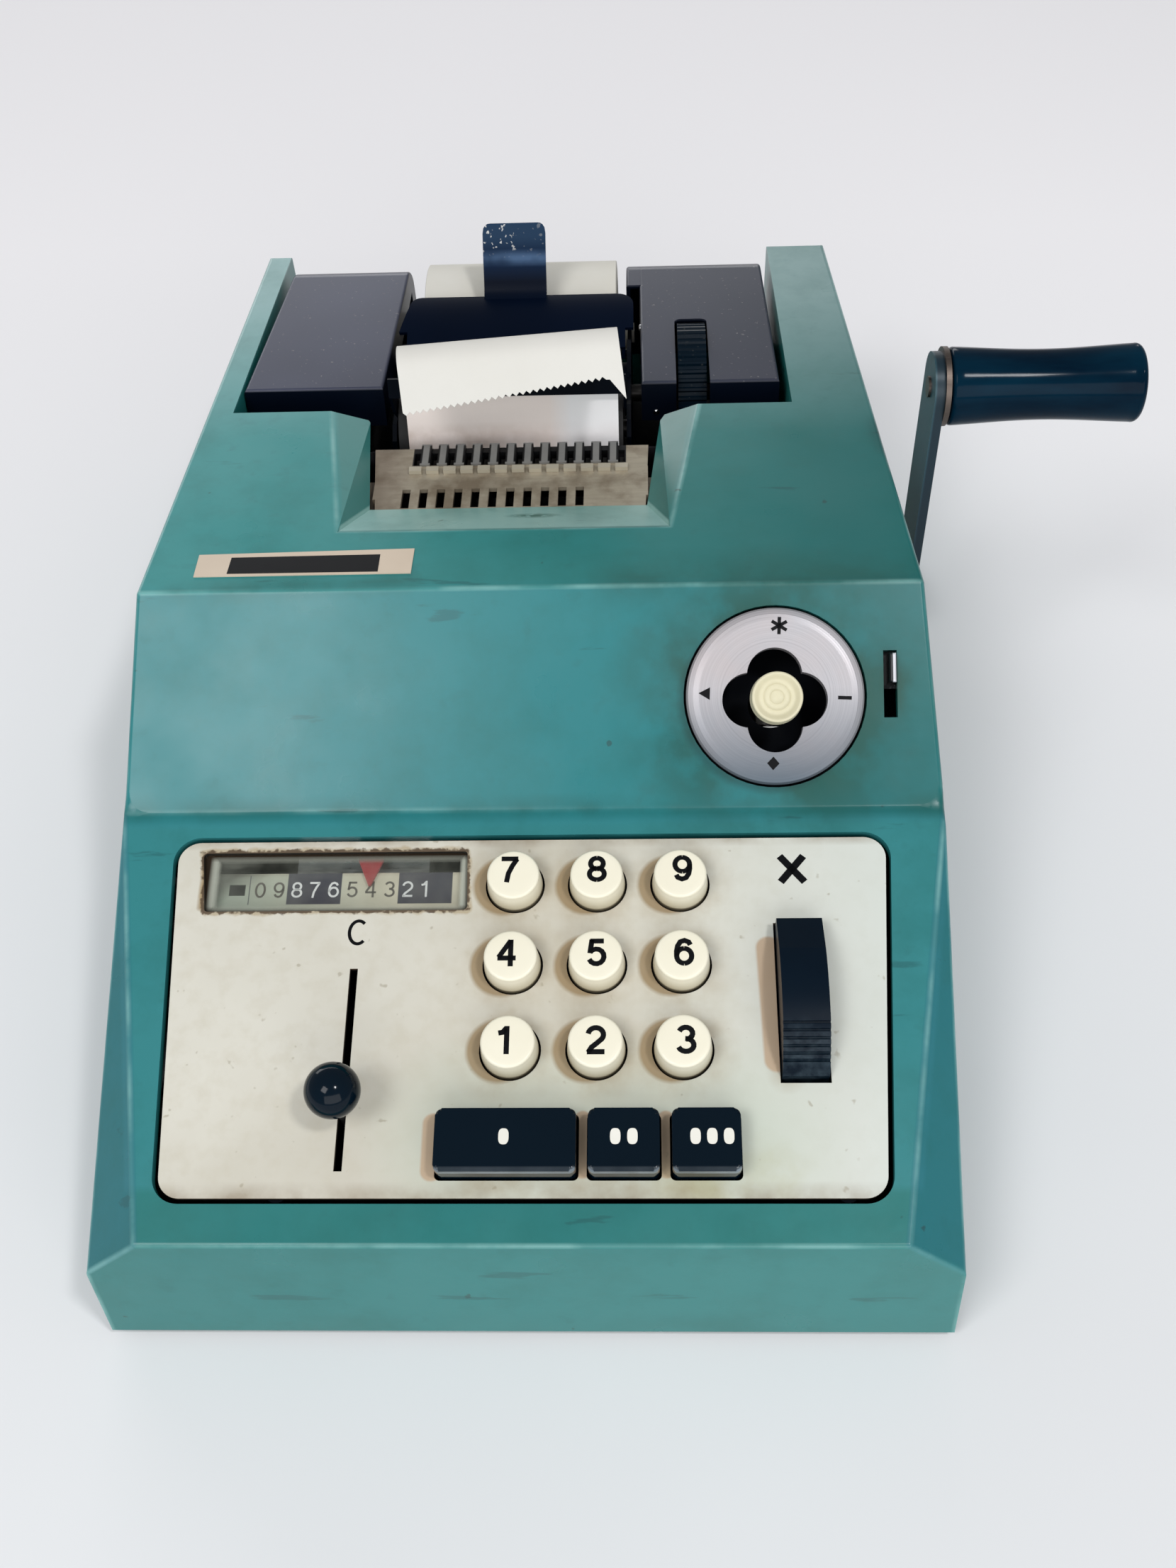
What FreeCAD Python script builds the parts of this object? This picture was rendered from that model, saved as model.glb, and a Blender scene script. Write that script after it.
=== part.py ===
import FreeCAD, Part
import math
import os

# A small hand-cranked adding machine with a ten-key keyboard and a paper tape.
# X runs to the right from the middle of the keyboard, Y from the front crease to the back
# and Z up from the table. All values are millimetres and degrees.

V = FreeCAD.Vector
X_AXIS = V(1, 0, 0)
Z_AXIS = V(0, 0, 1)

# Fits and gaps
RUN = 0.06           # radial clearance of a shaft in its bearing
GAP = 0.4            # free gap between parts that move past each other
WALL = 2.5           # casing wall
SHEET = 1.2          # folded sheet metal
FOOT_HEIGHT = 3

# Side profile of the casing, as (y, z)
FRONT_BOTTOM = (-3, FOOT_HEIGHT)
FRONT_CREASE = (0, 41)
DECK_REAR = (99, 63)
SLOPE_TOP = (141, 95.5)
REAR_TOP = (309, 82.5)
REAR_BOTTOM = (311, FOOT_HEIGHT)

# Casing in plan: widest at a ridge beside the deck's rear end
RIDGE_HALF_WIDTH = 97.5
FRONT_TAPER = 0.052
REAR_TAPER_LEFT = 0.0335
REAR_TAPER_RIGHT = 0.0605
DRAFT = 0.04
CREASE_HALF_WIDTH = 80.8
BELT_Z = 29.5
EDGE_ROUND = 1.2
COVER_ROUND = 0.8

# Print window: a funnel whose bevels go down to the type guide
GUIDE_TOP_Z = 84
FUNNEL_FRONT = ((164, 93.6), (184, GUIDE_TOP_Z))
FUNNEL_LEFT = ((-49, 164, 93.6), (-44.2, 184, GUIDE_TOP_Z), (-47.5, 219.3, 85.9), (-57.9, 219.3, 89.4))
FUNNEL_RIGHT = ((34, 164, 93.6), (28.3, 184, GUIDE_TOP_Z), (32.1, 219.3, 85.6), (42.4, 219.3, 89.4))

# Well at the rear for the covers and the paper, open to the back
WELL_FRONT_Y = 219.3
WELL_LEFT = (-85.2, -82)
WELL_RIGHT = (68, 66)
WELL_FLOOR_Z = 46

# Keyboard panel, in the deck's plane: x across, s up the slope, h above it
PANEL_FRONT = 10.1
PANEL_REAR = 93.5
PANEL_HALF_FRONT = 77.1
PANEL_HALF_REAR = 83
PANEL_GAP = 1.2
PANEL_TOP = -0.3
PANEL_THICK = 1.6
PANEL_CORNER = 5
WINDOW = ((-77, 91), (-14.5, 91), (-13.9, 75.9), (-75.1, 75.9))

# Keys
KEY_COLUMNS = (-3, 16, 35)
KEY_ROWS = (42.3, 62.1, 81.8)
KEY_BASE_RADIUS = 6.4
KEY_TOP_RADIUS = 5.95
KEY_TOP = 6.4
KEY_SKIRT = -3
KEY_HOLE_RADIUS = 6.85
PLUNGER_RADIUS = 2
PLUNGER_END = -24
BAR_KEYS = {"key_0": (-17.9, 12.0), "key_00": (14.5, 29.6), "key_000": (32.2, 46.7)}
BAR_KEY_FRONT = 14.2
BAR_KEY_REAR = 27.7
BAR_KEY_TOP = 6
GUIDE_H = (-16, -14)

# Repeat rocker, clear lever and column carriage, in the deck's plane
ROCKER_X = (56.3, 66.5)
ROCKER_S = (36, 71.3)
ROCKER_PIVOT = (60, -7)
CLEAR_X = -39
CLEAR_SLOT = (15.8, 61.7)
CLEAR_REST = 29.8
BALL_RADIUS = 6.35
BALL_H = 12
SCALE_PITCH = 4.35
POINTER_X = -37.7
CARRIAGE_X = (-56, -24.4)
RAIL_S = (78, 89)
RAIL_H = -11
RAIL_RADIUS = 1.5

# Function stick and selector, in the middle slope's plane
DIAL_X = 58.1
DIAL_S = 26.2
DIAL_RADIUS = 21
STICK_X = 58
STICK_S = 25.2
GIMBAL_H = -24
SELECTOR_X = 85.2
SELECTOR_SLOT = (20.8, 36.7)
SELECTOR_TAB = (28.9, 35.8)
SELECTOR_RISE = 2.6

# Frame plates and cross shafts
FRAME_LEFT_X = (-56, -54)
FRAME_RIGHT_X = (59, 61)
BASE_TOP = 4.4
MAIN_SHAFT = (189, 45)
MAIN_RADIUS = 5
BUSHING_RADIUS = 7.5
REGISTER_SHAFT = (166, 58)
REGISTER_RADIUS = 3

# Printer
TAPE_X = (-38, 20)
TAPE_THICK = 0.4
TAPE_LEAVES = 163    # angle round the platen where the tape lets go
TAPE_RISE = 24.3
TAPE_CURL = 8.3
TAPE_FALLS = 129.5     # angle round the curl where the free end starts
TAPE_DROP = 11
TEAR_BAR_X = (-41.2, 23)
CRADLE_LEFT_X = -42.4
CRADLE_RIGHT_X = 24.2
PLATEN = (227, 76)
PLATEN_RADIUS = 12
FEED = (251, 70.5)
FEED_RADIUS = 7
FEED_SHAFT_RADIUS = 2.5
THUMBWHEEL_RADIUS = 19.3
THUMBWHEEL_X = (37.6, 45.6)
ROLL = (289, 65.5)
ROLL_RADIUS = 21.5
SPINDLE_RADIUS = 8
FLAP_HINGE = (254.5, 82)
FLAP_X = (-43.2, 25)
TAB_X = (-18.9, -0.5)
TYPE_PITCH = 4.6
TYPE_FIRST_X = -33.5
TYPE_COUNT = 13
SLOT_Y = (201.8, 206.9)
STOP_Y = (197.9, 199.7)
TINE_Y = (201, 209.7)
READING_FIRST_X = -35.3
READING_COUNT = 11
READING_Y = (184.2, 191.8)
WING_Y = (188, 200)
WING_Z = 78.8
SPOOL_LEFT = (-70, 188)
SPOOL_RIGHT = (74, 188)
SPOOL_Z = (68, 82)
RIBBON_Z = (69.2, 80.8)

# Crank
ARM_X = (98.5, 101)
ARM_WIDTH = 17
GRIP_AXIS = (191, 114)
GRIP_X = (102.7, 149.5)
GRIP_RADIUS = 9.5
PIN_RADIUS = 3

# The exported frame stands on the table under the middle of the whole machine
BASE_HALF_WIDTH = RIDGE_HALF_WIDTH + DRAFT * (DECK_REAR[1] - FOOT_HEIGHT)
ORIGIN = V((GRIP_X[1] - BASE_HALF_WIDTH) / 2, (FRONT_BOTTOM[0] + REAR_BOTTOM[0]) / 2, 0)


# Helpers

def slope_frame(low, high):
    """Placement whose Y runs up the slope from low to high, both (y, z)."""
    angle = math.degrees(math.atan2(high[1] - low[1], high[0] - low[0]))
    return FreeCAD.Placement(V(0, low[0], low[1]), FreeCAD.Rotation(X_AXIS, angle))


DECK = slope_frame(FRONT_CREASE, DECK_REAR)
SLOPE = slope_frame(DECK_REAR, SLOPE_TOP)


def on(frame, shape):
    moved = shape.copy()
    moved.Placement = frame.multiply(moved.Placement)
    return moved


def block(x, y, z):
    """Box from three (low, high) pairs."""
    return Part.makeBox(x[1] - x[0], y[1] - y[0], z[1] - z[0], V(x[0], y[0], z[0]))


def rod(x, centre, radius):
    """Round bar along X about the (y, z) centre."""
    return Part.makeCylinder(radius, x[1] - x[0], V(x[0], centre[0], centre[1]), X_AXIS)


def post(centre, z, radius):
    """Round bar along Z about the (x, y) centre."""
    return Part.makeCylinder(radius, z[1] - z[0], V(centre[0], centre[1], z[0]))


def fuse(shapes):
    whole = shapes[0].multiFuse(shapes[1:])
    return whole.removeSplitter()


def prism(points, z, corner=0):
    """Polygon of (x, y) points raised from z[0] to z[1], its upright edges rounded."""
    outline = [V(px, py, z[0]) for px, py in points]
    solid = Part.Face(Part.makePolygon(outline + outline[:1])).extrude(V(0, 0, z[1] - z[0]))
    if corner:
        upright = [e for e in solid.Edges if abs(e.tangentAt(e.FirstParameter).z) > 0.9]
        solid = solid.makeFillet(corner, upright)
    return solid


def plate(outline, x):
    """Polygon of (y, z) points, or a wire, made solid between the two x values."""
    wire = outline
    if isinstance(outline, list):
        points = [V(x[0], py, pz) for py, pz in outline]
        wire = Part.makePolygon(points + points[:1])
    else:
        wire = outline.copy()
        wire.translate(V(x[0], 0, 0))
    return Part.Face(wire).extrude(V(x[1] - x[0], 0, 0))


def turned(profile, along, about):
    """Body of revolution: (distance, radius) points along an axis through about."""
    points = [V(radius, 0, distance) for distance, radius in profile]
    body = Part.Face(Part.makePolygon(points + points[:1])).revolve(V(), Z_AXIS, 360)
    body.Placement = FreeCAD.Placement(about, FreeCAD.Rotation(Z_AXIS, along))
    return body


def outside(point, normal, shift=0):
    """Large block that covers everything beyond a plane moved out by shift."""
    normal = V(*normal).normalize()
    start = V(*point) + normal * shift
    slab = Part.makeBox(900, 900, 200, V(-450, -450, 0))
    slab.Placement = FreeCAD.Placement(start, FreeCAD.Rotation(Z_AXIS, normal))
    return slab


def arc_wire(pieces):
    """Wire in the YZ plane: two points make a line, three make an arc."""
    edges = []
    for piece in pieces:
        ends = [V(0, py, pz) for py, pz in piece]
        if len(ends) == 2:
            edges.append(Part.makeLine(ends[0], ends[1]))
        else:
            edges.append(Part.Arc(ends[0], ends[1], ends[2]).toShape())
    return Part.Wire(edges)


def polar(centre, radius, angle):
    """Point (y, z) at an angle from +Y round the centre."""
    turn = math.radians(angle)
    return (centre[0] + radius * math.cos(turn), centre[1] + radius * math.sin(turn))


def ring_sheet(centre, inner, outer, angles, x):
    """Sheet bent round a centre, between two angles."""
    middle = (angles[0] + angles[1]) / 2
    out = [polar(centre, outer, a) for a in (angles[0], middle, angles[1])]
    back = [polar(centre, inner, a) for a in (angles[1], middle, angles[0])]
    return plate(arc_wire([out, (out[2], back[0]), back, (back[2], out[0])]), x)


# Casing

def side_normals(side, rear_taper):
    """Outward normals of the front and rear halves of one side wall."""
    return (side, -FRONT_TAPER, DRAFT), (side, rear_taper, DRAFT)


def facet_plane(side):
    """Point and outward normal of the triangular facet beside the deck."""
    belt_y = FRONT_BOTTOM[0] * (FRONT_CREASE[1] - BELT_Z) / (FRONT_CREASE[1] - FRONT_BOTTOM[1])
    belt_x = RIDGE_HALF_WIDTH + FRONT_TAPER * (belt_y - DECK_REAR[0]) - DRAFT * (BELT_Z - DECK_REAR[1])
    crease = V(side * CREASE_HALF_WIDTH, *FRONT_CREASE)
    belt = V(side * belt_x, belt_y, BELT_Z)
    ridge = V(side * RIDGE_HALF_WIDTH, *DECK_REAR)
    normal = (belt - crease).cross(ridge - crease)
    if normal.x * side < 0:
        normal = normal * -1
    return tuple(crease), tuple(normal)


def faceted_body(inset=0):
    """Outer form of the casing, or its hollow with open bottom when inset."""
    low = -30 if inset else 0
    lean_front = (FRONT_CREASE[0] - FRONT_BOTTOM[0]) / (FRONT_CREASE[1] - FRONT_BOTTOM[1])
    lean_rear = (REAR_TOP[0] - REAR_BOTTOM[0]) / (REAR_TOP[1] - REAR_BOTTOM[1])
    profile = [
        (FRONT_BOTTOM[0] + lean_front * low, FRONT_BOTTOM[1] + low),
        FRONT_CREASE, DECK_REAR, SLOPE_TOP, REAR_TOP,
        (REAR_BOTTOM[0] + lean_rear * low, REAR_BOTTOM[1] + low),
    ]
    points = [V(-130, y, z) for y, z in profile]
    wire = Part.makePolygon(points + points[:1])
    if inset:
        wire = wire.makeOffset2D(-inset, 2)
    body = Part.Face(wire).extrude(V(260, 0, 0))
    for side, rear_taper in ((-1, REAR_TAPER_LEFT), (1, REAR_TAPER_RIGHT)):
        ridge = (side * RIDGE_HALF_WIDTH, *DECK_REAR)
        for normal in side_normals(side, rear_taper):
            body = body.cut(outside(ridge, normal, -inset))
        beside_deck = block((-150, 150), (-60, DECK_REAR[0]), (-60, 150))
        body = body.cut(outside(*facet_plane(side), -inset).common(beside_deck))
    return body


def print_funnel(grow=0):
    """Space of the print window above its front bevel and the two facets of each side."""
    space = block((-100, 80), (140, WELL_FRONT_Y + 2), (70, 105))
    (front_y, front_z), (foot_y, foot_z) = FUNNEL_FRONT
    space = space.cut(outside((0, front_y, front_z), (0, foot_z - front_z, front_y - foot_y), grow))
    for corners in (FUNNEL_LEFT, FUNNEL_RIGHT):
        top, foot, low, high = [V(*corner) for corner in corners]
        above = []
        for a, b in ((foot, low), (low, high)):
            normal = (a - top).cross(b - top)
            if normal.z > 0:
                normal = normal * -1
            above.append(space.cut(outside(corners[0], tuple(normal), grow)))
        space = fuse(above)
    return space


def well_space(grow=0):
    """Plan of the rear well, widened by grow, as a tall block."""
    plan = [
        (WELL_LEFT[0] - grow, WELL_FRONT_Y), (WELL_RIGHT[0] + grow, WELL_FRONT_Y),
        (WELL_RIGHT[1] + grow, 330), (WELL_LEFT[1] - grow, 330),
    ]
    return prism(plan, (WELL_FLOOR_Z + 3 * grow, 120))


def deck_opening():
    front = PANEL_HALF_FRONT + PANEL_GAP
    rear = PANEL_HALF_REAR + PANEL_GAP
    near = PANEL_FRONT - PANEL_GAP
    far = PANEL_REAR + PANEL_GAP
    plan = [(-front, near), (front, near), (rear, far), (-rear, far)]
    return on(DECK, prism(plan, (-8, 8), PANEL_CORNER + PANEL_GAP))


def boss_places():
    return ((-88.5, 12), (88.5, 12), (-86.5, 296), (80.5, 296))


def casing():
    outer = faceted_body()
    creases = [e for e in outer.Edges if e.BoundBox.ZMin > FOOT_HEIGHT + 1]
    outer = outer.makeFillet(EDGE_ROUND, creases)
    sharp = faceted_body()
    hollow = faceted_body(WALL)
    inner_skin = sharp.common(print_funnel(2)).common(block((-100, 80), (140, 225), (GUIDE_TOP_Z - 2, 105)))
    low_y, low_z = FUNNEL_LEFT[2][1:]
    rise = low_z - GUIDE_TOP_Z
    inner_skin = inner_skin.cut(outside((0, low_y, low_z + 0.2), (0, rise, FUNNEL_FRONT[1][0] - low_y)))
    side_walls = sharp.common(well_space(2)).common(hollow).cut(block((-90, 80), (200, WELL_FRONT_Y), (0, 120)))
    bosses = [post(place, (BASE_TOP, 30), 4.5).common(sharp) for place in boss_places()]
    shell = outer.cut(hollow).multiFuse([inner_skin, side_walls] + bosses)
    cuts = [deck_opening(), print_funnel(), well_space()]
    cuts += [post(place, (0, 22), 1.65) for place in boss_places()]
    cuts.append(on(SLOPE, post((DIAL_X, DIAL_S), (-8, 8), DIAL_RADIUS + 0.6)))
    slot = block((SELECTOR_X - 1.6, SELECTOR_X + 1.6), SELECTOR_SLOT, (-8, 8))
    cuts.append(on(SLOPE, slot))
    cuts.append(rod((80, 120), MAIN_SHAFT, BUSHING_RADIUS))
    shell = shell.cut(Part.makeCompound(cuts))
    return shell.removeSplitter()


def base_plate():
    footprint = faceted_body(WALL + 0.4).common(block((-130, 130), (-20, 330), (FOOT_HEIGHT, BASE_TOP)))
    holes = [post(place, (0, 10), 2) for place in boss_places()]
    return footprint.cut(Part.makeCompound(holes))


def rubber_feet():
    places = ((-76, 18), (76, 18), (-72, 288), (68, 288))
    profile = [(0, 0), (0, 7), (FOOT_HEIGHT, 8.5), (FOOT_HEIGHT, 0)]
    return Part.makeCompound([turned(profile, Z_AXIS, V(x, y, 0)) for x, y in places])


def base_screws():
    profile = [(1.2, 0), (1.2, 3.2), (FOOT_HEIGHT, 3.6), (FOOT_HEIGHT, 1.6), (20, 1.6), (20, 0)]
    return Part.makeCompound([turned(profile, Z_AXIS, V(x, y, 0)) for x, y in boss_places()])


# Keyboard

def panel_plan(shrink=0):
    front = PANEL_HALF_FRONT - shrink
    rear = PANEL_HALF_REAR - shrink
    near = PANEL_FRONT + shrink
    far = PANEL_REAR - shrink
    return [(-front, near), (front, near), (rear, far), (-rear, far)]


def bar_key_plan(name, grow=0):
    left, right = BAR_KEYS[name]
    near = BAR_KEY_FRONT - grow
    far = BAR_KEY_REAR + grow
    return [(left - grow, near), (right + grow, near), (right + grow, far), (left - grow, far)]


def keyboard_panel():
    levels = (PANEL_TOP - PANEL_THICK, PANEL_TOP)
    through = (-6, 4)
    panel = prism(panel_plan(), levels, PANEL_CORNER)
    cuts = [post((x, s), through, KEY_HOLE_RADIUS) for x in KEY_COLUMNS for s in KEY_ROWS]
    cuts += [prism(bar_key_plan(name, GAP), through, 1.2) for name in BAR_KEYS]
    cuts.append(prism(WINDOW, through, 1))
    cuts.append(block((CLEAR_X - 0.9, CLEAR_X + 0.9), CLEAR_SLOT, through))
    rocker_s = (ROCKER_S[0] - 1.2, ROCKER_S[1] + 0.8)
    cuts.append(block((ROCKER_X[0] - GAP, ROCKER_X[1] + GAP), rocker_s, through))
    return on(DECK, panel.cut(Part.makeCompound(cuts)))


def column_window():
    under = PANEL_TOP - PANEL_THICK
    plan = [(-79, 92.6), (-12.5, 92.6), (-12, 74.4), (-77, 74.4)]
    return on(DECK, prism(plan, (under - SHEET, under)))


def column_scale():
    leaf = block((-76, -13), (76.4, 87.5), (-5.8, -5))
    legs = [block((x, x + 2), (76.4, 78), (-5, -3.1)) for x in (-76, -15)]
    return on(DECK, fuse([leaf] + legs))


def plunger_places():
    places = [(x, s) for x in KEY_COLUMNS for s in KEY_ROWS]
    middle = (BAR_KEY_FRONT + BAR_KEY_REAR) / 2
    return places + [((left + right) / 2, middle) for left, right in BAR_KEYS.values()]


def key_guide_plate():
    """Plate that guides the plungers, with the panel's posts and the rocker's ears."""
    plan = [(-57, 6), (72, 6), (72, 94), (-10.4, 94), (-10.4, 70.5), (-57, 70.5)]
    sheet = prism(plan, GUIDE_H)
    under = PANEL_TOP - PANEL_THICK
    posts = [post(place, (GUIDE_H[1] - 1, under), 2.5) for place in ((-52, 12), (69, 12), (69, 90), (-53, 66))]
    ears = []
    for x in (ROCKER_X[0] - 2.2, ROCKER_X[1] + 0.7):
        ears.append(block((x, x + 1.5), (ROCKER_PIVOT[0] - 4, ROCKER_PIVOT[0] + 4), (GUIDE_H[1] - 1, -3.5)))
    solid = fuse([sheet] + posts + ears)
    cuts = [post(place, (-20, -10), PLUNGER_RADIUS + RUN) for place in plunger_places()]
    cuts.append(block((CLEAR_X - 1.1, CLEAR_X + 1.1), CLEAR_SLOT, (-20, -10)))
    cuts.append(rod((50, 72), ROCKER_PIVOT, 1.5 + RUN))
    return on(DECK, solid.cut(Part.makeCompound(cuts)))


def digit_key(x, s):
    stem = PLUNGER_RADIUS
    profile = [
        (PLUNGER_END, 0), (PLUNGER_END, stem), (KEY_SKIRT, stem), (KEY_SKIRT, KEY_BASE_RADIUS),
        (0.4, KEY_BASE_RADIUS), (KEY_TOP - 0.7, KEY_TOP_RADIUS), (KEY_TOP, KEY_TOP_RADIUS - 0.7), (KEY_TOP, 0),
    ]
    return on(DECK, turned(profile, Z_AXIS, V(x, s, 0)))


def bar_key(name):
    cap = prism(bar_key_plan(name), (KEY_SKIRT, BAR_KEY_TOP), 1.4)
    rim = [e for e in cap.Edges if e.BoundBox.ZMin > BAR_KEY_TOP - 0.01]
    cap = cap.makeChamfer(0.8, rim)
    left, right = BAR_KEYS[name]
    middle = ((left + right) / 2, (BAR_KEY_FRONT + BAR_KEY_REAR) / 2)
    stem = post(middle, (PLUNGER_END, KEY_SKIRT + 1), PLUNGER_RADIUS)
    return on(DECK, fuse([cap, stem]))


def repeat_rocker():
    front, rear = ROCKER_S
    hump = arc_wire([
        ((front, -6), (front, 0.8)), ((front, 0.8), (40.4, 5.8), (45.2, 8.9)), ((45.2, 8.9), (54, 9.8), (62.6, 8.4)),
        ((62.6, 8.4), (rear, 4.4)), ((rear, 4.4), (rear, -6)), ((rear, -6), (front, -6)),
    ])
    body = plate(hump, ROCKER_X)
    grooves = [block(ROCKER_X, (s, s + 0.6), (0, 12)) for s in (38.2, 39.4, 40.7, 42.1, 43.6, 45.1)]
    keep = plate(hump.makeOffset2D(-0.55, 2), ROCKER_X)
    body = body.cut(Part.makeCompound(grooves).cut(keep))
    lug = block(ROCKER_X, (ROCKER_PIVOT[0] - 3, ROCKER_PIVOT[0] + 3), (ROCKER_PIVOT[1] - 2.5, -5.5))
    pin = rod((ROCKER_X[0] - 2.4, ROCKER_X[1] + 2.4), ROCKER_PIVOT, 1.5)
    return on(DECK, fuse([body, lug, pin]))


def clear_lever():
    blade = block((CLEAR_X - 0.6, CLEAR_X + 0.6), (CLEAR_REST - 2.5, CLEAR_REST + 2.5), (-20, 3))
    neck = post((CLEAR_X, CLEAR_REST), (0.6, 10), 1.6)
    foot = block((CLEAR_X - 3, CLEAR_X + 3), (CLEAR_REST - 4, CLEAR_REST + 4), (-20, -17))
    return on(DECK, fuse([blade, neck, foot]))


def clear_lever_ball():
    ball = Part.makeSphere(BALL_RADIUS, V(CLEAR_X, CLEAR_REST, BALL_H))
    return on(DECK, ball.cut(post((CLEAR_X, CLEAR_REST), (0, 10), 1.6)))


def carriage_rail():
    """Two rods for the column carriage, on a leg at the left and an ear at the keys."""
    rods = [rod((-88, -6.6), (s, RAIL_H), RAIL_RADIUS) for s in RAIL_S]
    ear = block((-8.2, -6.6), (75.5, 91.5), (GUIDE_H[1], RAIL_H + 2.2))
    left = on(DECK, block((-88, -86.4), (75, 92), (-14, RAIL_H + 3)))
    leg = block((-88, -86.4), (78, 90), (BASE_TOP, 47))
    return fuse([on(DECK, fuse(rods + [ear])), left, leg])


def pin_carriage():
    """Block of stop pins that steps one column to the left for each digit keyed in."""
    body = block(CARRIAGE_X, (73.5, 94), (-15.4, -8))
    pins = [post((CARRIAGE_X[0] + 2 + k * 3.45, 83.5), (-9, -6.6), 0.8) for k in range(9)]
    fork = block((POINTER_X - 3, POINTER_X + 3), (92.6, 94), (-9, -3.6))
    solid = fuse([body, fork] + pins)
    return on(DECK, solid.cut(Part.makeCompound([rod((-90, 0), (s, RAIL_H), RAIL_RADIUS + RUN) for s in RAIL_S])))


def column_pointer():
    plan = [(POINTER_X - 2.9, 92.6), (POINTER_X - 2.9, 90), (POINTER_X - 0.3, 83.8)]
    plan += [(POINTER_X + 0.3, 83.8), (POINTER_X + 2.9, 90), (POINTER_X + 2.9, 92.6)]
    return on(DECK, prism(plan, (-4.4, -3.6)))


# Function stick and selector

def lobed_opening(z):
    """Four round lobes about the stick's place."""
    lobes = []
    for angle in range(0, 360, 90):
        turn = math.radians(angle)
        lobes.append(post((STICK_X + 5.9 * math.cos(turn), STICK_S + 5.9 * math.sin(turn)), z, 6.5))
    return fuse(lobes)


def dial_ring():
    edge = [(-0.3, DIAL_RADIUS), (0.25, DIAL_RADIUS - 0.5), (0.65, DIAL_RADIUS - 1.6), (0.85, DIAL_RADIUS - 3)]
    profile = [(-WALL, 0), (-WALL, DIAL_RADIUS)] + edge + [(0.85, 0)]
    disc = turned(profile, Z_AXIS, V(DIAL_X, DIAL_S, 0))
    return on(SLOPE, disc.cut(lobed_opening((-4, 4))))


def dial_cup():
    """Dark well behind the ring, with two ears that carry the gimbal."""
    flange = post((DIAL_X, DIAL_S), (-WALL - 1.2, -WALL), 23.5)
    wall = post((DIAL_X, DIAL_S), (-15, -WALL - 1.2), 18)
    ears = []
    for side in (-1, 1):
        x = STICK_X + side * 9.5
        ears.append(block((x - 0.75, x + 0.75), (STICK_S - 4, STICK_S + 4), (GIMBAL_H - 4, -14)))
    cup = fuse([flange, wall] + ears)
    hollow = post((DIAL_X, DIAL_S), (-13.6, 0), 16.6)
    cup = cup.cut(hollow).cut(post((STICK_X, STICK_S), (-20, 0), 5.5))
    return on(SLOPE, cup.cut(rod((STICK_X - 12, STICK_X + 12), (STICK_S, GIMBAL_H), 1.5 + RUN)))


def gimbal_ring():
    outer = block((STICK_X - 7.5, STICK_X + 7.5), (STICK_S - 6.5, STICK_S + 6.5), (GIMBAL_H - 2.2, GIMBAL_H + 2.2))
    inner = block((STICK_X - 5.5, STICK_X + 5.5), (STICK_S - 4.5, STICK_S + 4.5), (GIMBAL_H - 3, GIMBAL_H + 3))
    pins = []
    for side in (-1, 1):
        ends = sorted((STICK_X + side * 7, STICK_X + side * 10.4))
        pins.append(rod(ends, (STICK_S, GIMBAL_H), 1.5))
    frame = fuse([outer.cut(inner)] + pins)
    bore = Part.makeCylinder(1.3 + RUN, 20, V(STICK_X, STICK_S - 10, GIMBAL_H), V(0, 1, 0))
    return on(SLOPE, frame.cut(bore))


def function_stick():
    stem = post((STICK_X, STICK_S), (GIMBAL_H, 6), 2.1)
    hub = block((STICK_X - 3, STICK_X + 3), (STICK_S - 4, STICK_S + 4), (GIMBAL_H - 2, GIMBAL_H + 2))
    pivot = Part.makeCylinder(1.3, 12.6, V(STICK_X, STICK_S - 6.3, GIMBAL_H), V(0, 1, 0))
    tail = post((STICK_X, STICK_S), (GIMBAL_H - 7, GIMBAL_H), 1.6)
    return on(SLOPE, fuse([stem, hub, pivot, tail]))


def function_knob():
    profile = [(3.4, 2.1), (3.4, 5.6), (4.2, 6.15), (8, 5.9), (8.8, 5.2), (8.1, 3.6), (8.1, 0), (6, 0), (6, 2.1)]
    return on(SLOPE, turned(profile, Z_AXIS, V(STICK_X, STICK_S, 0)))


def selector_tab():
    near, far = SELECTOR_TAB
    tab = block((SELECTOR_X - 0.5, SELECTOR_X + 1.1), (near, far), (-5, SELECTOR_RISE))
    top = [e for e in tab.Edges if e.BoundBox.ZMin > SELECTOR_RISE - 0.1]
    tab = tab.makeFillet(0.5, top)
    keeper = block((SELECTOR_X - 3.4, SELECTOR_X + 2.6), (near - 1, far + 1), (-4.4, -3.1))
    return on(SLOPE, fuse([tab, keeper]))


# Frame and calculating works

def side_frame(x):
    outline = [
        (9.3, BASE_TOP), (9.3, 26.3), (95.2, 45.4), (104, 40), (148, 40), (156, 66),
        (297, 66), (297, BASE_TOP),
    ]
    sheet = plate(outline, x)
    holes = [rod(x, place, 10) for place in ((50, 20), (78, 22), (122, 22), (236, 24), (262, 24))]
    return sheet.cut(Part.makeCompound(holes))


def crank_frame(x):
    return side_frame(x).cut(rod((x[0] - 1, x[1] + 1), MAIN_SHAFT, MAIN_RADIUS + RUN))


def frame_tie_rods():
    places = ((98, 20), (140, 34), (214, 22), (284, 20))
    span = (FRAME_LEFT_X[1], FRAME_RIGHT_X[0])
    return Part.makeCompound([rod(span, place, 2.5) for place in places])


def register_shaft():
    return rod((FRAME_LEFT_X[1], FRAME_RIGHT_X[0]), REGISTER_SHAFT, REGISTER_RADIUS)


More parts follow.
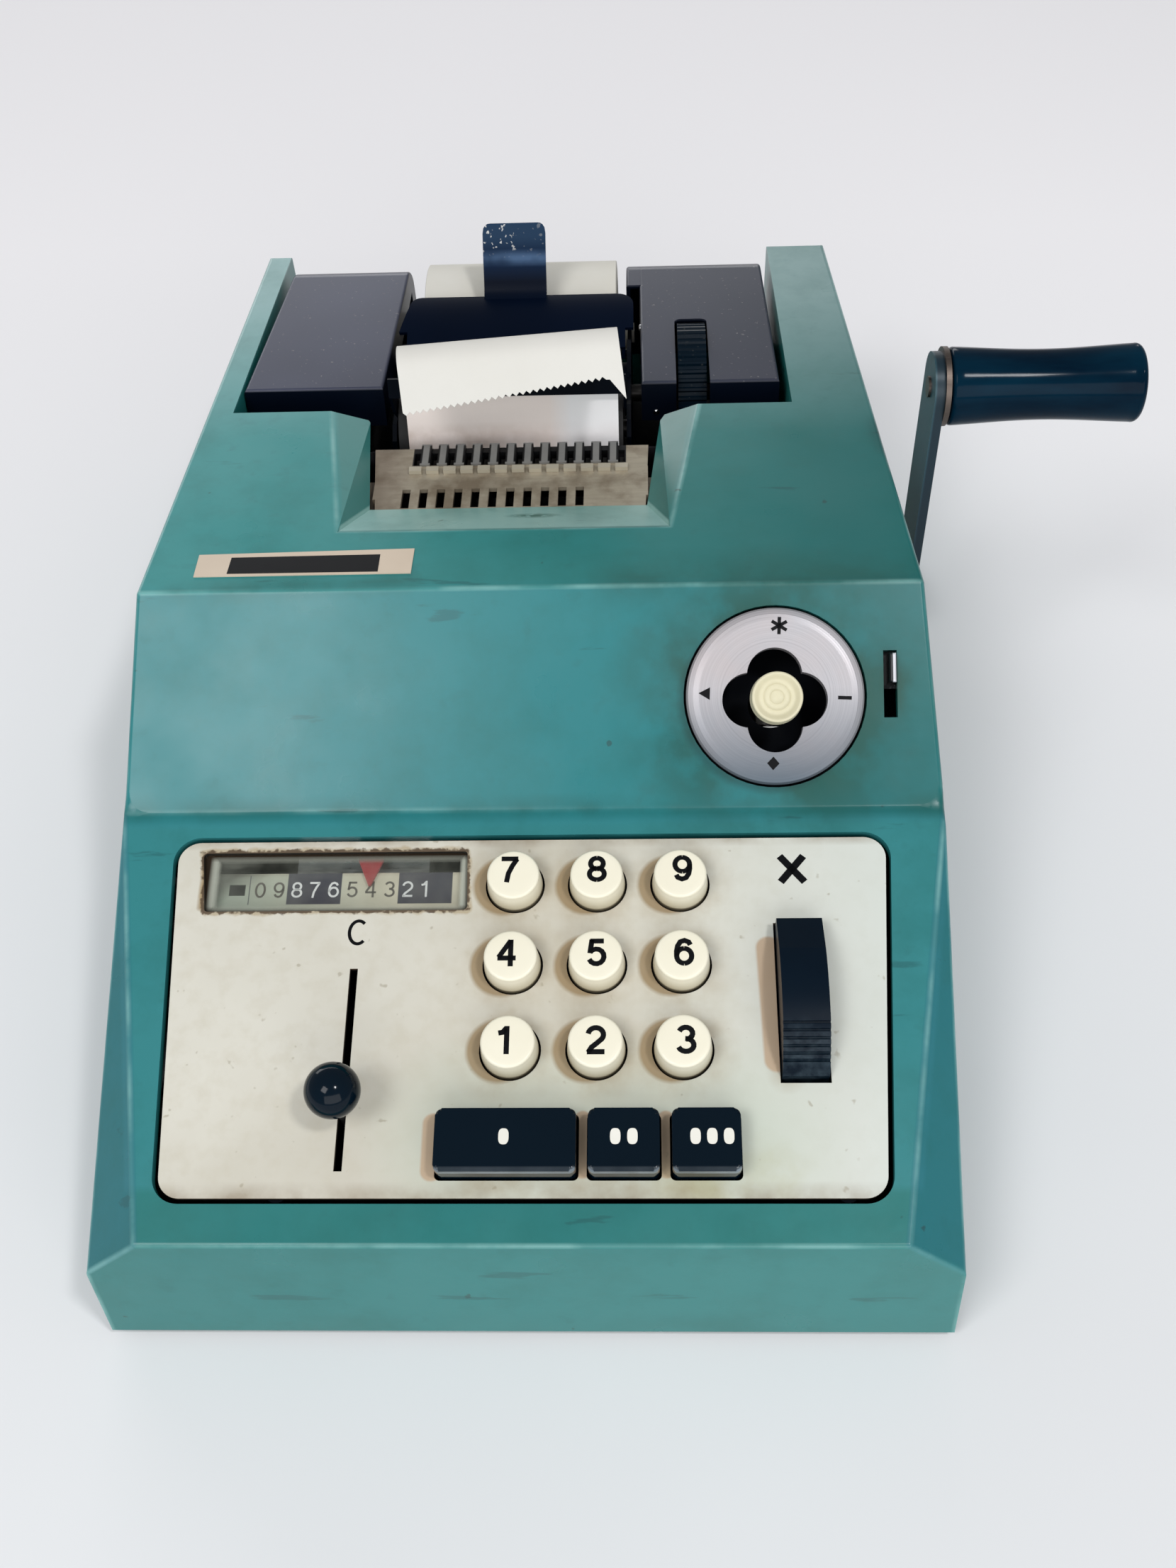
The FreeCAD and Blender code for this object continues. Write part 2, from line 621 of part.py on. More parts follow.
def toothed_wheel(x, centre, root, tip, teeth):
    """Wheel with straight tapered teeth about an axis along X."""
    step = 360 / teeth
    points = []
    for k in range(teeth):
        for share, radius in ((-0.3, root), (-0.14, tip), (0.14, tip), (0.3, root)):
            points.append(polar(centre, radius, (k + share) * step))
    return plate(points, x)


def register_wheels():
    bore = rod((-60, 60), REGISTER_SHAFT, REGISTER_RADIUS + RUN)
    hub = rod((-42, 36), REGISTER_SHAFT, 4.6)
    wheels = [toothed_wheel((x, x + 2), REGISTER_SHAFT, 7.4, 9, 10) for x in range(-38, 34, 9)]
    return fuse([hub] + wheels).cut(bore)


def main_shaft():
    """Cross shaft with the two cams that work the type bars and the register."""
    shaft = rod((FRAME_LEFT_X[0] - 2, ARM_X[0]), MAIN_SHAFT, MAIN_RADIUS)
    stub = rod((ARM_X[0], ARM_X[1] + 1), MAIN_SHAFT, 3.4)
    cams = []
    for x in (-44, 40):
        nose = polar(MAIN_SHAFT, 4.5, 200)
        disc = rod((x, x + 4), MAIN_SHAFT, 9)
        cams.append(disc.fuse(rod((x, x + 4), nose, 8)))
    return fuse([shaft, stub] + cams)


def crank_bushing():
    sleeve = rod((86, 96.5), MAIN_SHAFT, BUSHING_RADIUS - RUN)
    collar = rod((93.6, 97.4), MAIN_SHAFT, BUSHING_RADIUS + 2)
    bore = rod((80, 110), MAIN_SHAFT, MAIN_RADIUS + RUN)
    return fuse([sleeve, collar]).cut(bore)


def crank_arm():
    """Flat strap with round ends, from the shaft up to the grip's pin."""
    half = ARM_WIDTH / 2
    foot = rod(ARM_X, MAIN_SHAFT, half + 0.5)
    head = rod(ARM_X, GRIP_AXIS, half)
    rise = V(0, GRIP_AXIS[0] - MAIN_SHAFT[0], GRIP_AXIS[1] - MAIN_SHAFT[1])
    across = X_AXIS.cross(rise).normalize()
    low = V(ARM_X[0], *MAIN_SHAFT)
    high = V(ARM_X[0], *GRIP_AXIS)
    corners = [low + across * half, high + across * half, high - across * half, low - across * half]
    strap = Part.Face(Part.makePolygon(corners + corners[:1])).extrude(V(ARM_X[1] - ARM_X[0], 0, 0))
    arm = fuse([strap, foot, head])
    holes = [rod((90, 110), MAIN_SHAFT, 3.4), rod((90, 110), GRIP_AXIS, 2.6)]
    return arm.cut(Part.makeCompound(holes))


def crank_pin():
    """Rivet with a wide collar that the grip turns on."""
    tail = rod((ARM_X[0] - 0.6, ARM_X[1]), GRIP_AXIS, 2.6)
    collar = rod((ARM_X[1], GRIP_X[0] - GAP), GRIP_AXIS, GRIP_RADIUS + 0.1)
    pin = rod((GRIP_X[0] - GAP, GRIP_X[1] - 5), GRIP_AXIS, PIN_RADIUS)
    return fuse([tail, collar, pin])


def crank_grip():
    """Waisted handle with rounded ends."""
    start, end = GRIP_X
    length = end - start
    profile = [(start, 0), (start, GRIP_RADIUS - 0.6)]
    for share in (0.02, 0.15, 0.3, 0.5, 0.7, 0.85, 0.95):
        waist = 0.9 * math.sin(math.pi * share)
        profile.append((start + share * length, GRIP_RADIUS - waist))
    profile += [(end - 0.9, GRIP_RADIUS - 0.5), (end, GRIP_RADIUS - 1.8), (end, 0)]
    grip = turned(profile, X_AXIS, V(0, *GRIP_AXIS))
    return grip.cut(rod((start - 1, end - 4), GRIP_AXIS, PIN_RADIUS + RUN))


# Covers of the paper well

def cover_form(plan, inset=0):
    """Solid under one cover: front face, top, rounded rear and rear face."""
    low = WELL_FLOOR_Z + 2 - (30 if inset else 0)
    top_front = (231.5, 88)
    top_rear = (294.7, 83.5)
    outline = [
        ((228 + inset, low), (229 + inset, 72)), ((229 + inset, 72), (231.5 + inset, 88 - inset)),
        ((231.5 + inset, top_front[1] - inset), (top_rear[0], top_rear[1] - inset)),
        ((top_rear[0], top_rear[1] - inset), (300.8 - 0.7 * inset, 81 - 0.7 * inset), (303.6 - inset, 75)),
        ((303.6 - inset, 75), (304.6 - inset, low)), ((304.6 - inset, low), (228 + inset, low)),
    ]
    form = plate(arc_wire(outline), (-100, 100))
    (left_front, left_rear), (right_front, right_rear) = plan
    span = top_rear[0] - top_front[0]
    form = form.cut(outside((left_front, 231.5, 0), (-span, left_rear - left_front, 0), -inset))
    return form.cut(outside((right_front, 231.5, 0), (span, right_front - right_rear, 0), -inset))


def cover(plan):
    form = cover_form(plan)
    rims = [e for e in form.Edges if e.BoundBox.ZMin > 83.4 and e.BoundBox.YMin < 232]
    shell = form.makeFillet(COVER_ROUND, rims).cut(cover_form(plan, SHEET))
    below = block((-100, 100), (220, 297), (0, 76.5))
    return shell.cut(below)


def left_cover():
    return cover(((-84.3, -80.4), (-45.2, -44.3)))


def right_cover():
    lid = cover(((27.2, 26.7), (65.5, 63.9)))
    corner = cover(((22.8, 22.8), (31, 31))).common(block((20, 27.2), (286, 310), (0, 100)))
    wheel_left, wheel_right = THUMBWHEEL_X[0] - 0.7, THUMBWHEEL_X[1] + 0.7
    plan = [(wheel_left, 220), (wheel_right, 220), (wheel_right, 265.5), (wheel_left, 265.5)]
    return fuse([lid.cut(prism(plan, (60, 100), 2)), corner])


# Printer

def type_guide_comb():
    """Slotted guide with raised tines between its type slots and a small stop before each."""
    levels = (GUIDE_TOP_Z - SHEET, GUIDE_TOP_Z)
    leaf = prism([(-42.9, 182.6), (28, 182.6), (28.9, 208.9), (-45.4, 208.9)], levels)
    folds = []
    for inner, outer in ((-42.9, -54), (27.5, 59)):
        into = math.copysign(SHEET, outer - inner)
        folds.append(block(sorted((inner, inner + into)), WING_Y, (WING_Z, GUIDE_TOP_Z)))
        folds.append(block(sorted((inner, outer)), WING_Y, (WING_Z, WING_Z + SHEET)))
        folds.append(block(sorted((outer, outer - into)), WING_Y, (60, WING_Z + SHEET)))
    raised = []
    cuts = []
    for k in range(TYPE_COUNT):
        x = TYPE_FIRST_X + k * TYPE_PITCH
        cuts.append(block((x - 0.85, x + 0.85), SLOT_Y, (80, 90)))
        raised.append(block((x - 1.65, x + 1.65), STOP_Y, (GUIDE_TOP_Z - 0.5, GUIDE_TOP_Z + 1.4)))
        if k:
            middle = x - TYPE_PITCH / 2
            raised.append(block((middle - 1.35, middle + 1.35), TINE_Y, (GUIDE_TOP_Z - 0.5, GUIDE_TOP_Z + 0.9)))
    for k in range(READING_COUNT):
        x = READING_FIRST_X + k * TYPE_PITCH
        cuts.append(block((x - 1.1, x + 1.1), READING_Y, (80, 86)))
    return fuse([leaf] + folds + raised).cut(Part.makeCompound(cuts))


def type_bars():
    """One lifting rack with a type bar under each slot of the guide."""
    rail = block((TYPE_FIRST_X - 4, TYPE_FIRST_X + 12 * TYPE_PITCH + 4), (201.4, 207.4), (61, 66))
    bars = []
    for k in range(TYPE_COUNT):
        x = TYPE_FIRST_X + k * TYPE_PITCH
        bars.append(block((x - 0.5, x + 0.5), (SLOT_Y[0] + 0.5, SLOT_Y[1] - 0.5), (65, 82)))
    return fuse([rail] + bars)


def tear_bar():
    """Serrated strip in front of the tape, on two arms fixed to the cradle."""
    low = (217.5, 94.5)
    high = (219, 99.5)
    strip = plate([low, high, (high[0] + 1, high[1] - 0.3), (low[0] + 1, low[1] - 0.3)], TEAR_BAR_X)
    arm = [(218, 94.3), (218.5, 96.5), (221, 96), (231, 80.6), (227.6, 79.9), (220, 88)]
    left, right = TEAR_BAR_X
    arms = [plate(list(arm), (left, left + 0.8)), plate(list(arm), (right - 0.6, right))]
    return fuse([strip] + arms)


def paper_cradle():
    """Folded trough between the covers that carries the platen, feed roller and roll."""
    side = [
        (219, 62), (219, 79), (223, 82), (230, 82), (236, 79), (248, 79), (251.6, 84.4), (257.4, 84.4),
        (260, 79), (266, 70), (296, 70), (296, 41), (240, 41), (230, 56),
    ]
    left = plate(list(side), (CRADLE_LEFT_X, CRADLE_LEFT_X + SHEET))
    right = plate(list(side), (CRADLE_RIGHT_X - SHEET, CRADLE_RIGHT_X))
    floor = block((CRADLE_LEFT_X, CRADLE_RIGHT_X), (240, 296), (41, 41 + SHEET))
    wing_z = (41, 41 + SHEET)
    wings = [block((FRAME_LEFT_X[1], CRADLE_LEFT_X), (250, 290), wing_z)]
    wings.append(block((CRADLE_RIGHT_X, FRAME_RIGHT_X[0]), (250, 290), wing_z))
    inside = (CRADLE_LEFT_X + 0.5, CRADLE_RIGHT_X - 0.5)
    guard = ring_sheet(FEED, FEED_RADIUS + 1.2, FEED_RADIUS + 1.2 + SHEET, (78, 172), inside)
    cradle = fuse([left, right, floor, guard] + wings)
    reach = (-60, 60)
    bores = [rod(reach, PLATEN, FEED_SHAFT_RADIUS + RUN), rod(reach, FEED, FEED_SHAFT_RADIUS + RUN)]
    bores += [rod(reach, FLAP_HINGE, 1 + RUN), rod(reach, ROLL, 3)]
    return cradle.cut(Part.makeCompound(bores))


def paper_spindle():
    body = rod((CRADLE_LEFT_X + SHEET, CRADLE_RIGHT_X - SHEET), ROLL, SPINDLE_RADIUS)
    ends = rod((CRADLE_LEFT_X - 0.8, CRADLE_RIGHT_X + 0.8), ROLL, 3)
    return fuse([body, ends])


def paper_roll():
    roll = rod(TAPE_X, ROLL, ROLL_RADIUS)
    return roll.cut(rod((-60, 60), ROLL, SPINDLE_RADIUS + RUN))


def platen_shaft():
    return rod((CRADLE_LEFT_X, CRADLE_RIGHT_X), PLATEN, FEED_SHAFT_RADIUS)


def platen_roller():
    roller = rod((TAPE_X[0] - 2, TAPE_X[1] + 2), PLATEN, PLATEN_RADIUS)
    return roller.cut(rod((-60, 60), PLATEN, FEED_SHAFT_RADIUS))


def feed_shaft():
    """Shaft of the thumbwheel with the roller that pushes the tape forward."""
    shaft = rod((CRADLE_LEFT_X, THUMBWHEEL_X[1] + 2), FEED, FEED_SHAFT_RADIUS)
    roller = rod((TAPE_X[0] + 4, TAPE_X[1] - 4), FEED, FEED_RADIUS)
    return fuse([shaft, roller])


def thumbwheel():
    wheel = toothed_wheel(THUMBWHEEL_X, FEED, THUMBWHEEL_RADIUS - 0.6, THUMBWHEEL_RADIUS, 48)
    return wheel.cut(rod((30, 60), FEED, FEED_SHAFT_RADIUS))


def tangent_under(first, first_radius, second, second_radius):
    """Line under two circles; a negative radius makes it cross over to the far side."""
    dy = second[0] - first[0]
    dz = second[1] - first[1]
    heading = math.degrees(math.atan2(dz, dy))
    lean = math.degrees(math.asin((first_radius - second_radius) / math.hypot(dy, dz)))
    angle = heading + 90 - lean
    return polar(first, first_radius, angle), polar(second, second_radius, angle), angle


def tape_line(grow):
    """Run of the tape as lines and arcs, on the side away from the rollers by grow."""
    roll_gap = grow - TAPE_THICK - GAP - ROLL_RADIUS
    feed_gap = FEED_RADIUS + GAP + grow
    platen_gap = PLATEN_RADIUS + GAP + grow
    from_roll, to_feed, first_angle = tangent_under(ROLL, roll_gap, FEED, feed_gap)
    from_feed, to_platen, second_angle = tangent_under(FEED, feed_gap, PLATEN, platen_gap)
    rise_start = polar(PLATEN, platen_gap, TAPE_LEAVES)
    rise_end = polar(rise_start, TAPE_RISE, TAPE_LEAVES - 90)
    curl = TAPE_CURL - grow
    centre = polar(rise_end, curl, TAPE_LEAVES)
    curl_end = polar(centre, curl, TAPE_FALLS)
    middle = (TAPE_LEAVES - 180 + TAPE_FALLS) / 2
    return [
        (from_roll, to_feed),
        (to_feed, polar(FEED, feed_gap, (first_angle + second_angle) / 2), from_feed),
        (from_feed, to_platen),
        (to_platen, polar(PLATEN, platen_gap, (TAPE_LEAVES + second_angle) / 2), rise_start),
        (rise_start, rise_end),
        (rise_end, polar(centre, curl, middle), curl_end),
        (curl_end, polar(curl_end, TAPE_DROP, TAPE_FALLS + 90)),
    ]


def paper_web():
    """Tape from the roll under both rollers, up past the tear bar and curled forward."""
    near = tape_line(0)
    far = tape_line(TAPE_THICK)
    back = [tuple(reversed(piece)) for piece in reversed(far)]
    ends = (near[-1][-1], far[-1][-1]), (far[0][0], near[0][0])
    return plate(arc_wire(near + [ends[0]] + back + [ends[1]]), TAPE_X)


def paper_flap():
    """Bent sheet over the roll, with its finger tab and two hinge lugs."""
    front = (253, 84.2)
    crown = (263, 87.6)
    rear = (273, 88.6)
    leaf = plate(arc_wire([
        (front, crown, rear), (rear, (rear[0], rear[1] - SHEET)),
        ((rear[0], rear[1] - SHEET), (crown[0], crown[1] - SHEET), (front[0], front[1] - SHEET)),
        ((front[0], front[1] - SHEET), front),
    ]), FLAP_X)
    corners = [e for e in leaf.Edges if e.BoundBox.XLength < 0.1 and e.BoundBox.YMin > rear[0] - 0.1]
    leaf = leaf.makeFillet(5, corners)
    leaf = leaf.cut(outside((FLAP_X[0], 259.5, 0), (-14, 3, 0)))
    inner_left = CRADLE_LEFT_X + SHEET
    inner_right = CRADLE_RIGHT_X - SHEET
    beside = [block((-60, inner_left + GAP), (250, 259), (80, 90))]
    beside.append(block((inner_right - GAP, 60), (250, 259), (80, 90)))
    leaf = leaf.cut(Part.makeCompound(beside))
    lug_form = [(253, 81), (253, 84), (256.4, 85), (256.4, 81)]
    lugs = []
    stubs = []
    for wall, turn in ((inner_left, 1), (inner_right, -1)):
        lug_x = sorted((wall + turn * GAP, wall + turn * (GAP + 1)))
        lugs.append(plate(list(lug_form), lug_x))
        stubs.append(rod(sorted((wall - turn * SHEET, wall + turn * (GAP + 1))), FLAP_HINGE, 1))
    tab = [(272, 87.4), (272, 88.6), (275, 91.2), (285.4, 105.2), (286.4, 104.6), (276, 90.4), (273, 87.4)]
    return fuse([leaf, plate(tab, TAB_X)] + lugs + stubs)


def ribbon_shelves():
    """Two shelves on the frame plates, each with the post of a ribbon spool."""
    shelves = []
    for (x, y), inner in ((SPOOL_LEFT, FRAME_LEFT_X[0]), (SPOOL_RIGHT, FRAME_RIGHT_X[1])):
        outer = x - 12 if x < 0 else x + 12
        shelf = block(sorted((inner, outer)), (y - 14, y + 14), (66, 67.2))
        hanger = block(sorted((inner, inner + math.copysign(1.2, x))), (y - 14, y + 14), (56, 67.2))
        shelves.append(fuse([shelf, hanger, post((x, y), (66, SPOOL_Z[1] + 1.5), 2)]))
    return Part.makeCompound(shelves)


def ribbon_spool(centre):
    low, high = SPOOL_Z
    profile = [(low, 2 + RUN), (low, 11.5), (low + 0.8, 11.5), (low + 0.8, 9.6)]
    profile += [(high - 0.8, 9.6), (high - 0.8, 11.5), (high, 11.5), (high, 2 + RUN)]
    return turned(profile, Z_AXIS, V(centre[0], centre[1], 0))


def ink_ribbon():
    """Ribbon from the back of one spool to the back of the other, past the type."""
    reach = 10.2
    line_y = 212
    path = [
        V(SPOOL_LEFT[0], SPOOL_LEFT[1] + reach, 0), V(-47, line_y, 0),
        V(32, line_y, 0), V(SPOOL_RIGHT[0], SPOOL_RIGHT[1] + reach, 0),
    ]
    far = [point + V(0, 0.3, 0) for point in reversed(path)]
    outline = [point + V(0, 0, RIBBON_Z[0]) for point in path + far]
    strip = Part.Face(Part.makePolygon(outline + outline[:1]))
    return strip.extrude(V(0, 0, RIBBON_Z[1] - RIBBON_Z[0]))


def all_parts():
    parts = {
        "casing": casing(),
        "base_plate": base_plate(),
        "rubber_feet": rubber_feet(),
        "base_screws": base_screws(),
        "keyboard_panel": keyboard_panel(),
        "column_window": column_window(),
        "column_scale": column_scale(),
        "key_guide_plate": key_guide_plate(),
        "repeat_rocker": repeat_rocker(),
        "clear_lever": clear_lever(),
        "clear_lever_ball": clear_lever_ball(),
        "carriage_rail": carriage_rail(),
        "pin_carriage": pin_carriage(),
        "column_pointer": column_pointer(),
        "dial_ring": dial_ring(),
        "dial_cup": dial_cup(),
        "gimbal_ring": gimbal_ring(),
        "function_stick": function_stick(),
        "function_knob": function_knob(),
        "selector_tab": selector_tab(),
        "left_side_frame": crank_frame(FRAME_LEFT_X),
        "right_side_frame": crank_frame(FRAME_RIGHT_X),
        "frame_tie_rods": frame_tie_rods(),
        "register_shaft": register_shaft(),
        "register_wheels": register_wheels(),
        "main_shaft": main_shaft(),
        "crank_bushing": crank_bushing(),
        "crank_arm": crank_arm(),
        "crank_pin": crank_pin(),
        "crank_grip": crank_grip(),
        "left_cover": left_cover(),
        "right_cover": right_cover(),
        "type_guide_comb": type_guide_comb(),
        "type_bars": type_bars(),
        "tear_bar": tear_bar(),
        "paper_cradle": paper_cradle(),
        "paper_spindle": paper_spindle(),
        "paper_roll": paper_roll(),
        "platen_shaft": platen_shaft(),
        "platen_roller": platen_roller(),
        "feed_shaft": feed_shaft(),
        "thumbwheel": thumbwheel(),
        "paper_web": paper_web(),
        "paper_flap": paper_flap(),
        "ribbon_shelves": ribbon_shelves(),
        "ribbon_spool_left": ribbon_spool(SPOOL_LEFT),
        "ribbon_spool_right": ribbon_spool(SPOOL_RIGHT),
        "ink_ribbon": ink_ribbon(),
    }
    number = 0
    for s in KEY_ROWS:
        for x in KEY_COLUMNS:
            number += 1
            parts[f"key_{number}"] = digit_key(x, s)
    for name in BAR_KEYS:
        parts[name] = bar_key(name)
    return parts


def export():
    os.makedirs("parts", exist_ok=True)
    for name, shape in all_parts().items():
        shape.translate(ORIGIN * -1)
        shape.exportStep(f"parts/{name}.step")
        box = shape.BoundBox
        print(f"{name:20s} solids {len(shape.Solids)} valid {shape.isValid()} volume {shape.Volume:10.1f} "
              f"x {box.XMin:.1f} {box.XMax:.1f} y {box.YMin:.1f} {box.YMax:.1f} z {box.ZMin:.1f} {box.ZMax:.1f}")


export()
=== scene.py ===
import bpy
import bmesh
import math
import random
from mathutils import Matrix, Vector


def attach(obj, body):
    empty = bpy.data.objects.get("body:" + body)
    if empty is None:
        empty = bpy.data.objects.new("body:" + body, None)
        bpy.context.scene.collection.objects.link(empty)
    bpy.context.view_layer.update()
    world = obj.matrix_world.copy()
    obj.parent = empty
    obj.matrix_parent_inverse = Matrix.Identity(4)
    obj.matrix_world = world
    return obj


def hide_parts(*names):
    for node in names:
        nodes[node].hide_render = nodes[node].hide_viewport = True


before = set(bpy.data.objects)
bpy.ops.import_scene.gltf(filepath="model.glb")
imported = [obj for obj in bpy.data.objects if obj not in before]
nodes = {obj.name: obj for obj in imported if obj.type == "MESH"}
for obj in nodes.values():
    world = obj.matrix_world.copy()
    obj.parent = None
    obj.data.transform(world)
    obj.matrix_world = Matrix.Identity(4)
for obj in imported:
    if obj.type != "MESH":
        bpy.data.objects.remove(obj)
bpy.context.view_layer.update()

# The drawing's own frame is millimetres with X from the keyboard's middle, Y from the front
# crease and Z from the table. ORIGIN is the row frame's origin in it.
ORIGIN = Vector((24.8, 154.0, 0.0))
METRES = Matrix.Diagonal((0.001, 0.001, 0.001, 1))
MODEL = METRES @ Matrix.Translation(-ORIGIN)
ACROSS = Matrix.Rotation(math.radians(90), 4, "Y")

# Creases across the casing, as (y, z)
FRONT_CREASE = (0, 41)
DECK_REAR = (99, 63)
SLOPE_TOP = (141, 95.5)
REAR_TOP = (309, 82.5)

# Each key column's x and each key row's s on the deck, with how far its figures stand off the middle
KEY_COLUMNS = {-3: -0.8, 16: 0.1, 35: 0.5}
KEY_ROWS = {42.3: 0.2, 62.1: 0.5, 81.8: 1.1}

# Places (x, s) and heights on the sloping planes
PANEL_FACE = -0.3
SCALE_FACE = -5
DIAL = (58.1, 26.2)
DIAL_FACE = 0.83
DIAL_TURN = math.radians(-2.5)
STICK = (58, 25.2)
TAB_SLOT = (85.4, 28)

# The type guide's tines repeat along X
TINE_X = -31.2
TINE_PITCH = 4.6


def row(x, y, z):
    """Drawing millimetres to row-frame metres."""
    return (Vector((x, y, z)) - ORIGIN) / 1000


def plane_matrix(low, high):
    """Matrix from (x, s, h) on a sloping plane, in millimetres, to row-frame metres."""
    angle = math.atan2(high[1] - low[1], high[0] - low[0])
    turn = Matrix.Rotation(angle, 4, "X")
    return METRES @ Matrix.Translation(Vector((0, low[0], low[1])) - ORIGIN) @ turn


def spot(plane, x, s):
    """Place on a plane, in metres."""
    return plane @ Vector((x, s, 0))


def at(plane, x, s, height=0):
    """A plane's frame moved to a place on it and a height over it."""
    return plane @ Matrix.Translation((x, s, height))


DECK = plane_matrix(FRONT_CREASE, DECK_REAR)
SLOPE = plane_matrix(DECK_REAR, SLOPE_TOP)
TOP = plane_matrix(SLOPE_TOP, REAR_TOP)
BEVEL = plane_matrix((164, 93.6), (184, 84))
COVER_TOP = plane_matrix((231.5, 88), (294.7, 83.5))

# Corners of the casing: x on the right, x on the left, and their (y, z)
CORNERS = {
    "front": (80.8, -80.8, FRONT_CREASE), "ridge": (93.6, -93.6, (-0.9, 29.5)),
    "foot": (94.6, -94.6, (-3, 3)), "deck": (97.5, -97.5, DECK_REAR),
    "top": (93.7, -94.8, SLOPE_TOP), "rear": (84, -89.7, REAR_TOP),
    "window": (34, -49, (164, 93.7)), "well": (43, -58, (220, 89.4)),
}
CREASES_ALONG = (("front", "deck"), ("front", "ridge"), ("ridge", "deck"), ("ridge", "foot"),
                 ("deck", "top"), ("top", "rear"), ("window", "well"))
CREASES_ACROSS = ("front", "deck", "top", "rear", "window")
RIGHT, LEFT = 0, 1


def corner(name, side):
    return row(CORNERS[name][side], *CORNERS[name][2])


def creases():
    """Pairs of corners that the creases run between."""
    lines = [(corner(name, LEFT), corner(name, RIGHT)) for name in CREASES_ACROSS]
    for start, end in CREASES_ALONG:
        lines += [(corner(start, side), corner(end, side)) for side in (RIGHT, LEFT)]
    return lines


# Materials

# Heights over a plane, in millimetres, that its face lies between, and the softness of both ends
FACE = (-1.6, 1.6, 0.4)


def srgb(r, g, b):
    """Screen colour from 0 to 255, as the linear colour that a shader takes."""
    out = []
    for value in (r, g, b):
        c = value / 255
        out.append(c / 12.92 if c <= 0.04045 else ((c + 0.055) / 1.055) ** 2.4)
    return (*out, 1)


class Finish:
    """A material's node tree, built layer by layer. A mask is a value from 0 to 1."""

    AXES = {"x": 0, "y": 1, "z": 2, "s": 1, "h": 2}
    SOCKETS = {"color": "Base Color", "roughness": "Roughness", "metallic": "Metallic",
               "coat": "Coat Weight", "coat_roughness": "Coat Roughness",
               "specular": "Specular IOR Level", "alpha": "Alpha"}

    def __init__(self, name):
        self.material = bpy.data.materials.new(name)
        self.material.use_nodes = True
        self.tree = self.material.node_tree
        self.shader = self.tree.nodes["Principled BSDF"]
        self.place = self.tree.nodes.new("ShaderNodeTexCoord").outputs["Object"]
        self.color = None

    def fill(self, socket, value):
        """Another node's output, or a plain value, into a socket."""
        if isinstance(value, bpy.types.NodeSocket):
            self.tree.links.new(value, socket)
        else:
            socket.default_value = value

    def node(self, kind, inputs, output=0, **settings):
        made = self.tree.nodes.new(kind)
        for key, value in settings.items():
            setattr(made, key, value)
        for key, value in inputs.items():
            self.fill(made.inputs[key], value)
        return made.outputs[output]

    def vector(self, operation, a, b=(0, 0, 0)):
        output = "Value" if operation in ("LENGTH", "DOT_PRODUCT") else "Vector"
        return self.node("ShaderNodeVectorMath", {0: a, 1: b}, output, operation=operation)

    def math(self, operation, a, b):
        return self.node("ShaderNodeMath", {0: a, 1: b}, operation=operation)

    def times(self, first, *others):
        for value in others:
            first = self.math("MULTIPLY", first, value)
        return first

    def most(self, values):
        whole = values[0]
        for value in values[1:]:
            whole = self.math("MAXIMUM", whole, value)
        return whole

    def ramp(self, value, low, high, to_low=0.0, to_high=1.0):
        return self.node("ShaderNodeMapRange", {0: value, 1: low, 2: high, 3: to_low, 4: to_high})

    def noise(self, scale, detail, rough=0.55, stretch=None):
        place = self.vector("MULTIPLY", self.place, stretch) if stretch else self.place
        inputs = {"Vector": place, "Scale": scale, "Detail": detail, "Roughness": rough}
        return self.node("ShaderNodeTexNoise", inputs, "Fac")

    def patches(self, scale, detail, low, high, to_low=0.0, to_high=1.0):
        """Noise that rises from one value to another between two of its levels."""
        return self.ramp(self.noise(scale, detail), low, high, to_low, to_high)

    def uneven(self, scale, low, high, detail=4):
        """Roughness that wanders between two values."""
        return self.patches(scale, detail, 0.3, 0.7, low, high)

    def mix(self, share, first, second):
        """Mix of two colours, each a screen colour or another node's output."""
        a, b = (srgb(*paint) if isinstance(paint, tuple) else paint for paint in (first, second))
        return self.node("ShaderNodeMix", {0: share, 6: a, 7: b}, 2, data_type="RGBA", blend_type="MIX")

    def cloudy(self, scale, dark, light, detail=4):
        """Start with a cloudy colour."""
        self.color = self.mix(self.noise(scale, detail), dark, light)

    def lay(self, paint, *shares):
        """Paint laid over the colour so far, by the product of its shares."""
        self.color = self.mix(self.times(*shares), self.color, paint)

    def near_line(self, a, b, inner, outer):
        """1 along the line from a to b, falling to 0 between two distances in metres."""
        direction = (b - a).normalized()
        reach = (b - a).length
        offset = self.vector("SUBTRACT", self.place, a)
        along = self.ramp(self.vector("DOT_PRODUCT", offset, direction), 0, reach, 0, reach)
        foot = self.node("ShaderNodeVectorMath", {0: direction, "Scale": along}, operation="SCALE")
        away = self.vector("LENGTH", self.vector("SUBTRACT", offset, foot))
        return self.ramp(away, inner, outer, 1.0, 0.0)

    def near_point(self, point, inner, outer, squeeze=(1, 1, 1)):
        """1 at a point, falling to 0 between two distances in metres."""
        offset = self.vector("MULTIPLY", self.vector("SUBTRACT", self.place, point), squeeze)
        return self.ramp(self.vector("LENGTH", offset), inner, outer, 1.0, 0.0)

    def near_plane(self, a, b, c):
        """1 within 0.6 mm of the plane through three points."""
        normal = (b - a).cross(c - a).normalized()
        height = self.vector("DOT_PRODUCT", self.vector("SUBTRACT", self.place, a), normal)
        return self.within(height, -0.0006, 0.0006, 0.0002)

    def within(self, value, low, high, soft):
        """1 between two values, with soft ends."""
        rise = self.ramp(value, low - soft, low + soft)
        fall = self.ramp(value, high - soft, high + soft, 1.0, 0.0)
        return self.times(rise, fall)

